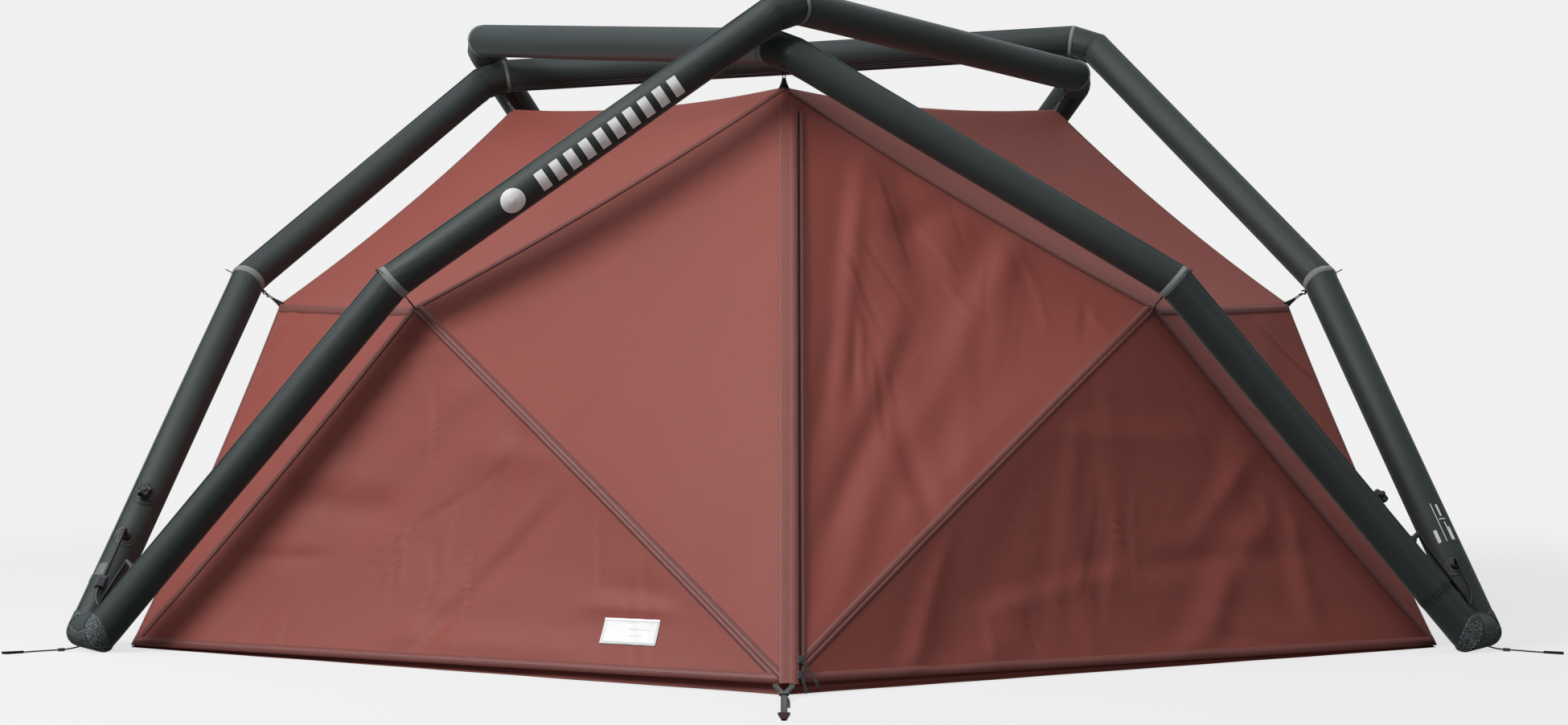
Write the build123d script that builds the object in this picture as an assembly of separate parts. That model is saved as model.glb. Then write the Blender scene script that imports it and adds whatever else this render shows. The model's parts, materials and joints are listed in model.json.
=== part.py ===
"""Inflatable three-arch dome tent with a front vestibule.

Units are millimetres, +Z is up and the front of the tent faces -Y.
The origin is on the ground under the middle of the tent. Three equal inflated arches stand on three
feet and cross each other at three points, so most of the model is made once and turned by 120 degrees.
Azimuths are measured from +X towards +Y.
"""
import os
from math import cos, radians, sin, tan

from build123d import *

# Inflated frame
FOOT_AZIMUTHS = {"front_left": 210.0, "front_right": 330.0, "rear": 90.0}
ARCH_TURNS = {"rear_arch": 0.0, "right_arch": 120.0, "left_arch": 240.0}
FIRST_FOOT = 210.0
TURN_BETWEEN_FEET = 120.0
TUBE_RADIUS = 37.0
SLEEVE_WALL = 1.6
BLADDER_RADIUS = 35.1
BLADDER_WALL = 1.3
FOOT_RADIUS = 1639.0
FOOT_HALF_WIDTH = 43.0
GRIP_THICKNESS = 2.0
GRIP_TOP = 24.0
ELBOW_RADIUS = 1207.0
ELBOW_ANGLE = 19.0
ELBOW_HEIGHT = 758.0
CROSSING_RADIUS = 810.0
CROSSING_HEIGHT = 1271.0
CROSSING_ANGLE = 60.0
CROSSING_OFFSET = 43.5
CROSSING_TILT = 19.0
CROSSING_SLEEVE = 64.0
BAND_HALF_WIDTH = 8.0
BAND_WALL = 1.3

# Air fittings, placed by their distance up a leg from the foot
FITTING_SWING = 56.0
PATCH_WALL = 1.6
VALVE_DISTANCE = 326.0
VALVE_PATCH_RADIUS = 28.0
VALVE_NECK_RADIUS = 11.0
VALVE_NECK_TOP = 43.0
CAP_RADIUS = 12.5
CAP_LOBE_RADIUS = 4.6
CAP_LOBES = 5
CAP_HEIGHT = 15.0
CAP_LOBE_INSET = 1.0
CAP_BUTTON = (6.0, 2.0)
CAP_GAP = 0.3
FIRST_BOSS_DISTANCE = 215.0
LAST_BOSS_DISTANCE = 140.0
BOSS_PATCH_RADIUS = 25.0
BOSS_RADIUS = 10.0
BOSS_TOP = 47.0
HOSE_RADIUS = 4.0
HOSE_LIFT = 60.0
HOSE_STANDOFF = 53.0
HOSE_TURN = (1628.0, 90.0)
HOSE_ELBOW_REACH = 34.0
HOSE_ELBOW_RISE = 4.0
HOSE_LOW_POINT = 58.0
CLAMP_DISTANCE = 88.0
CLAMP_SIZE = (28.0, 20.0, 12.0)
LEVER_SIZE = (26.0, 15.0, 4.0)

# Fly
FLY_APEX = Vector(0, 0, 400)
FLY_SCALE = 0.9973
FLY_TOP = (741.0, 1160.0)
FLY_ELBOW = (1136.0, 705.0)
FLY_ELBOW_ANGLE = 18.25
FLY_FOOT = (1540.0, 7.0)
FLY_LOBE = (1650.0, 21.0)
LOBE_AZIMUTHS = {"front": 270.0, "rear_right": 30.0, "rear_left": 150.0}
ZIP_TAPE = (8.0, 40.0, 2.0)
ZIP_TAPE_GAP = 0.3
ZIP_LINE = 30.0
CHAIN_SIZE = (5.0, 1.6)
FLAP = (-10.0, 21.0, 1.5)
FLAP_LIFT = 3.2
ZIP_END_GAP = 60.0
SLIDER_SIZE = (13.0, 18.0, 6.0)
SLIDER_LIFT = 4.2
SLIDER_PLACES = {"lower": 20.0, "upper": 54.0}
PULL_LENGTHS = {"lower": 42.0, "upper": 66.0}
PULL_SWINGS = {"lower": 14.0, "upper": 30.0}
PULL_SIZE = (5.0, 3.0)
LABEL_SIZE = (130.0, 52.0, 1.0)
LABEL_FROM_LOBE = 372.0
LABEL_UP = 86.0

# Corner hangers of the fly
TAB_SIZE = (18.0, 20.0, 2.5)
TAB_START = 3.0
HANGER_RADIUS = 2.6
CROSSING_HANGER_GAP = 0.4
ELBOW_HANGER_GAP = 8.0

# Front tie-down
WEBBING_WIDTH = 12.0
WEBBING_THICKNESS = 1.5
WEBBING_SPREAD = 15.0
WEBBING_JOIN_GAP = 3.5
LOCK_PLACE = (1716.0, 9.0)
LOCK_SIZE = (18.0, 14.0, 4.0)
STRAP_SIZE = (218.0, 1.6)
FRONT_PEG_LENGTH = 92.0
FRONT_PEG_WIDTH = 22.0
FRONT_PEG_THICKNESS = 4.0

# Foot guy cords, as (distance from the middle, sideways, height)
GUY_RADIUS = 1.5
GUY_ROUTE = [
    (1671.0, 0.0, 8.0), (1690.0, 1.0, 3.6), (1728.0, 0.0, 3.2), (1768.0, 3.0, 2.6), (1788.0, 2.0, 2.2),
]
TENSIONER_PLACE = 1709.0
TENSIONER_SIZE = (14.0, 9.0, 6.0)
TENSIONER_BORE = 2.2
PEG_SIZE = (44.0, 12.0, 5.0)

# Inner tent
INNER_APEX = Vector(0, 0, 300)
INNER_SCALE = 0.9975
INNER_TOP = (690.0, 1100.0)
INNER_ELBOW = (1050.0, 650.0)
INNER_FOOT = (1440.0, 3.0)
INNER_LOBE = (1535.0, 3.0)
FLOOR_THICKNESS = 3.0
TUB_HEIGHT = 110.0
DOOR_HALF_WIDTH = 380.0
DOOR_TOP = 590.0
DOOR_SLIDER_SIZE = (10.0, 6.0, 16.0)
DOOR_SLIDER_START = 150.0

EXTRA = 120.0


def polar(radius, azimuth, height):
    """A point from its distance to the Z axis, its azimuth and its height."""
    return Vector(radius * cos(radians(azimuth)), radius * sin(radians(azimuth)), height)


def turned(shape, angle):
    """A copy of a shape turned about the Z axis."""
    return shape.rotate(Axis.Z, angle)


def save(node, *shapes):
    """Write one sub-part, which may be a group of separate solids."""
    solids = [solid for shape in shapes for solid in shape.solids()]
    body = solids[0] if len(solids) == 1 else Compound(children=solids)
    export_step(body, f"parts/{node}.step")


# ---------------------------------------------------------------- arches

def crossing_point(azimuth, side):
    """Tube axis at a crossing; side is +1 for the tube on top and -1 for the one below."""
    out = CROSSING_OFFSET * sin(radians(CROSSING_TILT))
    rise = CROSSING_OFFSET * cos(radians(CROSSING_TILT))
    return polar(CROSSING_RADIUS + side * out, azimuth, CROSSING_HEIGHT + side * rise)


def foot_end(azimuth, side):
    """Where a leg's axis meets the foot; side is +1 for the first leg of an arch."""
    axis_height = TUBE_RADIUS + GRIP_THICKNESS
    across = Vector(sin(radians(azimuth)), -cos(radians(azimuth)), 0)
    return polar(FOOT_RADIUS, azimuth, axis_height) + across * side * FOOT_HALF_WIDTH


def arch_corners():
    """Corners of the tube axis from the front left foot, over the rear, to the front right foot."""
    last_foot = FIRST_FOOT + TURN_BETWEEN_FEET
    first_elbow = polar(ELBOW_RADIUS, FIRST_FOOT - ELBOW_ANGLE, ELBOW_HEIGHT)
    last_elbow = polar(ELBOW_RADIUS, last_foot + ELBOW_ANGLE, ELBOW_HEIGHT)
    under = crossing_point(FIRST_FOOT - CROSSING_ANGLE, -1)
    over = crossing_point(last_foot + CROSSING_ANGLE, 1)
    points = [foot_end(FIRST_FOOT, 1), first_elbow]
    for before, corner, after in ((first_elbow, under, over), (under, over, last_elbow)):
        along = ((corner - before).normalized() + (after - corner).normalized()).normalized()
        points += [corner - along * CROSSING_SLEEVE / 2, corner + along * CROSSING_SLEEVE / 2]
    return points + [last_elbow, foot_end(last_foot, -1)]


def foot_direction(azimuth):
    """Direction of the short foot tube, from the last leg of one arch to the first leg of the next."""
    return (foot_end(azimuth, 1) - foot_end(azimuth, -1)).normalized()


def mitre_planes(points, first_direction, last_direction):
    """A cutting plane at each corner, halfway between the tubes that meet there."""
    steps = [(b - a).normalized() for a, b in zip(points, points[1:])]
    before = [first_direction] + steps
    after = steps + [last_direction]
    return [Plane(origin=p, z_dir=(a + b).normalized()) for p, a, b in zip(points, before, after)]


def tube(start, end, outer, inner, first_plane, last_plane):
    """A straight hollow tube between two cutting planes."""
    along = (end - start).normalized()
    length = (end - start).length + 2 * EXTRA
    place = Plane(origin=start - along * EXTRA, z_dir=along)
    ends = (Align.CENTER, Align.CENTER, Align.MIN)
    solid = place * Cylinder(outer, length, align=ends)
    solid = split(solid, bisect_by=first_plane, keep=Keep.TOP)
    solid = split(solid, bisect_by=last_plane, keep=Keep.BOTTOM)
    if inner:
        bore = place * Cylinder(inner, length, align=ends)
        solid = solid - bore
    return solid


ARCH = arch_corners()
ARCH_PLANES = mitre_planes(ARCH, foot_direction(FIRST_FOOT), foot_direction(FIRST_FOOT + TURN_BETWEEN_FEET))
LEGS, SIDES, ROOF, CROSSINGS, ELBOWS = (0, 6), (1, 5), (3,), (2, 4), (1, 6)


def sleeve(index, outer=TUBE_RADIUS, wall=SLEEVE_WALL):
    """One straight run of the arch from the front left foot."""
    planes = ARCH_PLANES[index], ARCH_PLANES[index + 1]
    return tube(ARCH[index], ARCH[index + 1], outer, outer - wall, *planes)


def make_sleeves():
    """Outer fabric sleeves of the three arches."""
    for name, turn in ARCH_TURNS.items():
        for part, runs in (("legs", LEGS), ("sides", SIDES), ("roof_run", ROOF)):
            save(f"{name}_{part}", *[turned(sleeve(i), turn) for i in runs])
    save("crossing_sleeves", *[turned(sleeve(i), turn) for turn in ARCH_TURNS.values() for i in CROSSINGS])


def make_bladders():
    """Airtight bladders inside the sleeves, one for each arch."""
    outer = sleeve(0, BLADDER_RADIUS, BLADDER_WALL)
    for index in range(1, len(ARCH) - 1):
        outer = outer + sleeve(index, BLADDER_RADIUS, BLADDER_WALL)
    for name, turn in ARCH_TURNS.items():
        save(f"{name}_bladder", turned(outer, turn))


def elbow_band(index):
    """Reinforcing band round one elbow, in two halves that meet on the mitre."""
    mitre = ARCH_PLANES[index]
    low, high = mitre.offset(-BAND_HALF_WIDTH), mitre.offset(BAND_HALF_WIDTH)
    outer = TUBE_RADIUS + BAND_WALL
    below = tube(ARCH[index - 1], ARCH[index], outer, TUBE_RADIUS, low, mitre)
    above = tube(ARCH[index], ARCH[index + 1], outer, TUBE_RADIUS, mitre, high)
    return below + above


def foot_tube(outer, inner):
    """The short tube that joins two legs at a foot."""
    start, end = foot_end(FIRST_FOOT, -1), foot_end(FIRST_FOOT, 1)
    first = turned_plane(ARCH_PLANES[-1], -TURN_BETWEEN_FEET)
    return tube(start, end, outer, inner, first, ARCH_PLANES[0])


def turned_plane(plane, angle):
    """A plane turned about the Z axis."""
    return Plane(origin=plane.origin.rotate(Axis.Z, angle), z_dir=plane.z_dir.rotate(Axis.Z, angle))


def make_feet():
    """Foot boots and the grip patches that they stand on."""
    boot = foot_tube(TUBE_RADIUS, TUBE_RADIUS - SLEEVE_WALL)
    patch = foot_tube(TUBE_RADIUS + GRIP_THICKNESS, TUBE_RADIUS)
    patch = split(patch, bisect_by=Plane.XY.offset(GRIP_TOP), keep=Keep.BOTTOM)
    save("foot_boots", *[turned(boot, turn) for turn in ARCH_TURNS.values()])
    save("grip_patches", *[turned(patch, turn) for turn in ARCH_TURNS.values()])
    bands = [turned(elbow_band(i), turn) for turn in ARCH_TURNS.values() for i in ELBOWS]
    save("elbow_bands", *bands)


# ---------------------------------------------------------------- air fittings

def leg_frame(side, distance):
    """Plane on a leg's axis at the front left foot: X runs up the leg and Z points out of the fitting."""
    start = foot_end(FIRST_FOOT, side)
    elbow = polar(ELBOW_RADIUS, FIRST_FOOT - side * ELBOW_ANGLE, ELBOW_HEIGHT)
    along = (elbow - start).normalized()
    out = polar(1, FIRST_FOOT + side * FITTING_SWING, 0)
    out = (out - along * out.dot(along)).normalized()
    return Plane(origin=start + along * distance, x_dir=along, z_dir=out)


def fitting(side, distance, patch_radius, neck_radius, neck_top):
    """A round patch welded to the sleeve with a neck that stands out of it."""
    place = leg_frame(side, distance)
    ends = (Align.CENTER, Align.CENTER, Align.MIN)
    along_leg = place * Rot(0, 90, 0)
    skin = along_leg * Cylinder(TUBE_RADIUS + PATCH_WALL, 4 * patch_radius)
    core = along_leg * Cylinder(TUBE_RADIUS, 4 * patch_radius)
    patch = (place * Cylinder(patch_radius, neck_top, align=ends)) & skin
    neck = place * Cylinder(neck_radius, neck_top, align=ends)
    return patch + neck - core


def valve_cap():
    """Lobed cap that locks onto the valve base."""
    outline = Circle(CAP_RADIUS)
    for lobe in PolarLocations(CAP_RADIUS - CAP_LOBE_INSET, CAP_LOBES):
        outline += lobe * Circle(CAP_LOBE_RADIUS)
    cap = extrude(outline, CAP_HEIGHT)
    cap += Pos(0, 0, CAP_HEIGHT) * Cylinder(*CAP_BUTTON, align=(Align.CENTER, Align.CENTER, Align.MIN))
    place = leg_frame(1, VALVE_DISTANCE)
    return place * Pos(0, 0, VALVE_NECK_TOP + CAP_GAP) * cap


def hose_points():
    """Corners of the hose that balances the pressure of the two legs at a foot."""
    out = polar(1, FIRST_FOOT, 0)

    def over_leg(side, distance, lift):
        place = leg_frame(side, distance)
        return place.origin + place.z_dir * lift

    return [
        over_leg(1, FIRST_BOSS_DISTANCE, BOSS_TOP),
        over_leg(1, FIRST_BOSS_DISTANCE, HOSE_LIFT + HOSE_ELBOW_RISE),
        over_leg(1, FIRST_BOSS_DISTANCE - HOSE_ELBOW_REACH, HOSE_LIFT),
        over_leg(1, HOSE_LOW_POINT, HOSE_STANDOFF),
        out * HOSE_TURN[0] + Vector(0, 0, HOSE_TURN[1]),
        over_leg(-1, HOSE_LOW_POINT, HOSE_STANDOFF),
        over_leg(-1, LAST_BOSS_DISTANCE - HOSE_ELBOW_REACH, HOSE_LIFT),
        over_leg(-1, LAST_BOSS_DISTANCE, HOSE_LIFT + HOSE_ELBOW_RISE),
        over_leg(-1, LAST_BOSS_DISTANCE, BOSS_TOP),
    ]


def bend_radii(points, least):
    """The largest arc that the two runs beside each corner leave room for."""
    radii = []
    for a, b, c in zip(points, points[1:], points[2:]):
        half_turn = radians((b - a).get_angle(c - b)) / 2
        shorter = min((b - a).length, (c - b).length)
        radii.append(max(least, 0.45 * shorter / tan(half_turn)))
    return radii


def round_tube(points, radius):
    """A tube along straight runs joined by tangent arcs."""
    radii = bend_radii(points, radius)
    path = FilletPolyline(*points, radius=radii)
    section = Plane(origin=path @ 0, z_dir=path % 0) * Circle(radius)
    print("tube", round(path.length), "mm long, least bend", round(min(radii), 1))
    return sweep(section, path=path)


def clamp_place():
    """Plane on the hose where the clamp sits: X runs up the hose and Z points away from the leg."""
    points = hose_points()
    along = (points[2] - points[3]).normalized()
    leg = leg_frame(1, CLAMP_DISTANCE)
    out = (leg.z_dir - along * leg.z_dir.dot(along)).normalized()
    centre = points[3] + along * (leg.origin - points[3]).dot(along)
    return Plane(origin=centre, x_dir=along, z_dir=out)


def clamp_body():
    """Clamp block that the hose passes through."""
    bore = Rot(0, 90, 0) * Cylinder(HOSE_RADIUS + 0.2, 2 * CLAMP_SIZE[0])
    return clamp_place() * (fillet(Box(*CLAMP_SIZE).edges().filter_by(Axis.X), 2) - bore)


def clamp_lever():
    """Lever that lies on the clamp block and swings up about its upper end."""
    rise = CLAMP_SIZE[2] / 2 + LEVER_SIZE[2] / 2 + 0.3
    lever = fillet(Box(*LEVER_SIZE).edges().filter_by(Axis.Z), 3)
    return clamp_place() * Pos(0, 0, rise) * lever


def make_air_fittings():
    """Valves, bosses, hoses and clamps, one set for each foot."""
    turns = dict(zip(FOOT_AZIMUTHS, ARCH_TURNS.values()))
    valve = fitting(1, VALVE_DISTANCE, VALVE_PATCH_RADIUS, VALVE_NECK_RADIUS, VALVE_NECK_TOP)
    bosses = [
        fitting(side, distance, BOSS_PATCH_RADIUS, BOSS_RADIUS, BOSS_TOP)
        for side, distance in ((1, FIRST_BOSS_DISTANCE), (-1, LAST_BOSS_DISTANCE))
    ]
    hose = round_tube(hose_points(), HOSE_RADIUS)
    save("valve_bases", *[turned(valve, turn) for turn in turns.values()])
    save("hose_bosses", *[turned(boss, turn) for turn in turns.values() for boss in bosses])
    save("balance_hoses", *[turned(hose, turn) for turn in turns.values()])
    save("hose_clamp_bodies", *[turned(clamp_body(), turn) for turn in turns.values()])
    for foot, turn in turns.items():
        save(f"valve_cap_{foot}", turned(valve_cap(), turn))
        save(f"hose_clamp_lever_{foot}", turned(clamp_lever(), turn))
    for label, place in (("valve", leg_frame(1, VALVE_DISTANCE)), ("clamp", clamp_place())):
        print(label, [round(v, 2) for v in place.origin], "out", [round(v, 4) for v in place.z_dir],
              "across", [round(v, 4) for v in place.y_dir], "along", [round(v, 4) for v in place.x_dir])


# ---------------------------------------------------------------- sheets

def sheet(points, apex, scale):
    """A thin flat panel: an outline and the same outline drawn in towards an apex inside the tent."""
    inner = [apex + (p - apex) * scale for p in points]
    faces = [Face(Wire.make_polygon(ring, close=True)) for ring in (points, inner)]
    count = len(points)
    for i in range(count):
        j = (i + 1) % count
        side = [points[i], points[j], inner[j], inner[i]]
        faces.append(Face(Wire.make_polygon(side, close=True)))
    return Solid(Shell(faces))


def lobe_corners(azimuth, top, elbow, foot, lobe):
    """Corners round one lobe: its top, ground point, and the elbow and foot on each side of it."""
    beside = {-1: azimuth - 60, 1: azimuth + 60}
    elbows = {s: polar(elbow[0], a - s * FLY_ELBOW_ANGLE, elbow[1]) for s, a in beside.items()}
    feet = {s: polar(foot[0], a, foot[1]) for s, a in beside.items()}
    return polar(top[0], azimuth, top[1]), polar(lobe[0], azimuth, lobe[1]), elbows, feet


def fly_lobe(azimuth, side):
    """Upper and lower panel on one side of a lobe of the fly."""
    top, lobe, elbows, feet = lobe_corners(azimuth, FLY_TOP, FLY_ELBOW, FLY_FOOT, FLY_LOBE)
    upper = sheet([top, elbows[side], lobe], FLY_APEX, FLY_SCALE)
    lower = sheet([elbows[side], feet[side], lobe], FLY_APEX, FLY_SCALE)
    return upper, lower


def foot_gusset(azimuth, elbow, foot, apex, scale):
    """Triangle above a foot, between its two elbows."""
    elbows = [polar(elbow[0], azimuth + s * FLY_ELBOW_ANGLE, elbow[1]) for s in (-1, 1)]
    return sheet([elbows[0], elbows[1], polar(foot[0], azimuth, foot[1])], apex, scale)


def side_panel(azimuth, elbow, top, apex, scale):
    """Four-sided panel from two elbows up to two crossings."""
    elbows = [polar(elbow[0], azimuth + s * FLY_ELBOW_ANGLE, elbow[1]) for s in (-1, 1)]
    tops = [polar(top[0], azimuth + s * CROSSING_ANGLE, top[1]) for s in (1, -1)]
    return sheet(elbows + tops, apex, scale)


def roof_panel(top, apex, scale):
    """Flat triangle between the three crossings."""
    return sheet([polar(top[0], a, top[1]) for a in LOBE_AZIMUTHS.values()], apex, scale)


def fly_hem(azimuth, side):
    """Upright strip from the lower edge of the fly to the ground."""
    _, lobe, _, feet = lobe_corners(azimuth, FLY_TOP, FLY_ELBOW, FLY_FOOT, FLY_LOBE)
    foot = feet[side]
    outline = [foot, lobe, Vector(lobe.X, lobe.Y, 0), Vector(foot.X, foot.Y, 0)]
    return sheet(outline, FLY_APEX, FLY_SCALE)


def make_fly():
    """Outer fly: roof, sides, foot gussets, three lobes and hem."""
    feet = FOOT_AZIMUTHS.values()
    save("fly_roof", roof_panel(FLY_TOP, FLY_APEX, FLY_SCALE))
    save("fly_side_panels", *[side_panel(a, FLY_ELBOW, FLY_TOP, FLY_APEX, FLY_SCALE) for a in feet])
    save("fly_foot_gussets", *[foot_gusset(a, FLY_ELBOW, FLY_FOOT, FLY_APEX, FLY_SCALE) for a in feet])
    save("fly_front_left", *fly_lobe(LOBE_AZIMUTHS["front"], -1))
    save("fly_front_right", *fly_lobe(LOBE_AZIMUTHS["front"], 1))
    for name in ("rear_left", "rear_right"):
        azimuth = LOBE_AZIMUTHS[name]
        save(f"fly_{name}_lobe", *fly_lobe(azimuth, -1), *fly_lobe(azimuth, 1))
    save("fly_hem", *[fly_hem(a, side) for a in LOBE_AZIMUTHS.values() for side in (-1, 1)])


# ---------------------------------------------------------------- front zip

def zip_place():
    """Plane on the front right panel at the lower end of the ridge.

    X points away from the ridge in the panel, Y up along the ridge and Z out of the panel.
    """
    top, lobe, elbows, _ = lobe_corners(LOBE_AZIMUTHS["front"], FLY_TOP, FLY_ELBOW, FLY_FOOT, FLY_LOBE)
    up = (top - lobe).normalized()
    across = elbows[1] - lobe
    across = (across - up * across.dot(up)).normalized()
    return Plane(origin=lobe, x_dir=across, z_dir=across.cross(up))


def strip(low, high, start, end, bottom, thickness):
    """A straight strip in the zip's plane."""
    corner = (Align.MIN, Align.MIN, Align.MIN)
    return Pos(low, start, bottom) * Box(high - low, end - start, thickness, align=corner)


def zip_length():
    """Length of the ridge that the zip closes."""
    top, lobe, _, _ = lobe_corners(LOBE_AZIMUTHS["front"], FLY_TOP, FLY_ELBOW, FLY_FOOT, FLY_LOBE)
    return (top - lobe).length - ZIP_END_GAP


def slider_parts(name):
    """A zip slider and the cord pull that hangs from it."""
    place = zip_place() * Pos(ZIP_LINE, SLIDER_PLACES[name], SLIDER_LIFT)
    corner = (Align.CENTER, Align.CENTER, Align.MIN)
    slider = fillet(Box(*SLIDER_SIZE, align=corner).edges().filter_by(Axis.Z), 3)
    width, thickness = PULL_SIZE
    length = PULL_LENGTHS[name]
    pull = Pos(0, -length / 2, SLIDER_SIZE[2] + thickness / 2 + 0.4) * Box(width, length, thickness)
    return place * slider, place * Rot(0, 0, PULL_SWINGS[name]) * pull


def make_front_zip():
    """Zip, storm flap, sliders and pulls down the front ridge."""
    place = zip_place()
    end = zip_length()
    tape = strip(ZIP_TAPE[0], ZIP_TAPE[1], 4, end, ZIP_TAPE_GAP, ZIP_TAPE[2])
    half_chain = CHAIN_SIZE[0] / 2
    chain = strip(ZIP_LINE - half_chain, ZIP_LINE + half_chain, 4, end, ZIP_TAPE_GAP + ZIP_TAPE[2],
                  CHAIN_SIZE[1])
    save("zip_tape", place * (tape + chain))
    save("storm_flap", place * strip(FLAP[0], FLAP[1], 2, end + 10, FLAP_LIFT, FLAP[2]))
    for name in SLIDER_PLACES:
        slider, pull = slider_parts(name)
        save(f"zip_slider_{name}", slider)
        save(f"zip_pull_{name}", pull)
        hinge = place * Pos(ZIP_LINE, SLIDER_PLACES[name], SLIDER_LIFT + SLIDER_SIZE[2] + 1.9)
        print("pull hinge", name, [round(v, 2) for v in hinge.position])
    print("zip up", [round(v, 4) for v in place.y_dir], "out", [round(v, 4) for v in place.z_dir],
          "across", [round(v, 4) for v in place.x_dir], "length", round(end))


def make_label():
    """Plain sewn label near the lower edge of the front left panel."""
    _, lobe, elbows, feet = lobe_corners(LOBE_AZIMUTHS["front"], FLY_TOP, FLY_ELBOW, FLY_FOOT, FLY_LOBE)
    along = (lobe - feet[-1]).normalized()
    up = elbows[-1] - lobe
    up = (up - along * up.dot(along)).normalized()
    centre = lobe - along * LABEL_FROM_LOBE + up * LABEL_UP
    place = Plane(origin=centre, x_dir=along, z_dir=along.cross(up))
    save("fly_label", place * Pos(0, 0, LABEL_SIZE[2] / 2 + 0.3) * Box(*LABEL_SIZE))


# ---------------------------------------------------------------- hangers

def hanger(corner, target, out, gap):
    """Tab on a fly corner and the hook cord that ties it to a tube."""
    along = (target - corner).normalized()
    place = Plane(origin=corner, x_dir=out.cross(along).normalized(), z_dir=along)
    width, length, thickness = TAB_SIZE
    tab = place * Pos(0, 0, TAB_START + length / 2) * Box(width, thickness, length)
    reach = (target - corner).length - TUBE_RADIUS - gap
    start = TAB_START + length
    ends = (Align.CENTER, Align.CENTER, Align.MIN)
    hook = place * Pos(0, 0, start) * Cylinder(HANGER_RADIUS, reach - start, align=ends)
    return tab, hook


def make_hangers():
    """The nine places where the fly hangs from the frame."""
    tabs, hooks = [], []
    for turn in ARCH_TURNS.values():
        for side in (-1, 1):
            corner = polar(FLY_ELBOW[0], FIRST_FOOT + side * FLY_ELBOW_ANGLE, FLY_ELBOW[1])
            target = polar(ELBOW_RADIUS, FIRST_FOOT + side * ELBOW_ANGLE, ELBOW_HEIGHT)
            tab, hook = hanger(corner, target, polar(1, FIRST_FOOT, 0), ELBOW_HANGER_GAP)
            tabs.append(turned(tab, turn))
            hooks.append(turned(hook, turn))
        azimuth = FIRST_FOOT + CROSSING_ANGLE
        corner = polar(FLY_TOP[0], azimuth, FLY_TOP[1])
        target = crossing_point(azimuth, -1)
        tab, hook = hanger(corner, target, polar(1, azimuth, 0), CROSSING_HANGER_GAP)
        tabs.append(turned(tab, turn))
        hooks.append(turned(hook, turn))
    save("corner_tabs", *tabs)
    save("hanger_hooks", *hooks)


# ---------------------------------------------------------------- ground gear

def bar(start, end, width, thickness):
    """A flat bar between two points, with its width level."""
    along = (end - start).normalized()
    level = along.cross(Vector(0, 0, 1)).normalized()
    middle = (start + end) / 2
    place = Plane(origin=middle, x_dir=level, z_dir=level.cross(along))
    return place * Box(width, (end - start).length, thickness)


def make_tie_down():
    """Front tie-down: webbing on the hem, ladder lock, strap and its peg."""
    hem_y = -FLY_LOBE[0] - 2.5
    lock_y = -LOCK_PLACE[0]
    lock_z = LOCK_PLACE[1]
    join = Vector(0, lock_y + LOCK_SIZE[1] / 2 + WEBBING_JOIN_GAP, lock_z)
    legs = [bar(Vector(s * WEBBING_SPREAD, hem_y, FLY_LOBE[1] - 4), join, WEBBING_WIDTH, WEBBING_THICKNESS)
            for s in (-1, 1)]
    save("tie_down_webbing", legs[0] + legs[1])
    slot = Box(WEBBING_WIDTH + 1, 3.0, 2 * LOCK_SIZE[2])
    lock = fillet(Box(*LOCK_SIZE).edges().filter_by(Axis.Z), 3) - Pos(0, 3, 0) * slot - Pos(0, -3, 0) * slot
    save("ladder_lock", Pos(0, lock_y, lock_z) * lock)
    strap_start = Vector(0, lock_y - LOCK_SIZE[1] / 2 - 1, lock_z)
    strap_end = strap_start + Vector(0, -STRAP_SIZE[0], 0)
    strap_end = Vector(0, strap_end.Y, 2.5)
    save("tie_down_strap", bar(strap_start, strap_end, WEBBING_WIDTH, STRAP_SIZE[1]))
    half = FRONT_PEG_WIDTH / 2
    outline = Polyline((-half, 0), (half, 0), (4, -FRONT_PEG_LENGTH), (-4, -FRONT_PEG_LENGTH), close=True)
    peg = extrude(make_face(outline), FRONT_PEG_THICKNESS)
    return Pos(0, strap_end.Y - 1, 0.2) * peg


def guy_point(place):
    """A guy cord's route point at the front left foot."""
    out = polar(1, FIRST_FOOT, 0)
    across = Vector(sin(radians(FIRST_FOOT)), -cos(radians(FIRST_FOOT)), 0)
    return out * place[0] + across * place[1] + Vector(0, 0, place[2])


def tensioner():
    """Small sliding bar on a guy cord."""
    start, end = guy_point(GUY_ROUTE[1]), guy_point(GUY_ROUTE[2])
    along = (end - start).normalized()
    level = Vector(0, 0, 1).cross(along).normalized()
    centre = start + along * (TENSIONER_PLACE - GUY_ROUTE[1][0])
    place = Plane(origin=centre, x_dir=along, z_dir=along.cross(level))
    bore = Rot(0, 90, 0) * Cylinder(TENSIONER_BORE, 2 * TENSIONER_SIZE[0])
    print("tensioner along", [round(v, 4) for v in along])
    return place * (fillet(Box(*TENSIONER_SIZE).edges().filter_by(Axis.Z), 3) - bore)


def guy_peg():
    """Flat peg head that lies on the ground at the end of a guy cord."""
    length, width, height = PEG_SIZE
    outline = Polyline((0, -2), (length, -width / 2), (length - 6, width / 2), (0, 2), close=True)
    peg = extrude(make_face(outline), height)
    out = guy_point(GUY_ROUTE[-1])
    place = Plane(origin=Vector(out.X, out.Y, 0.2), x_dir=polar(1, FIRST_FOOT, 0), z_dir=(0, 0, 1))
    return place * Pos(0.5, 0, 0) * peg


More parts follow.
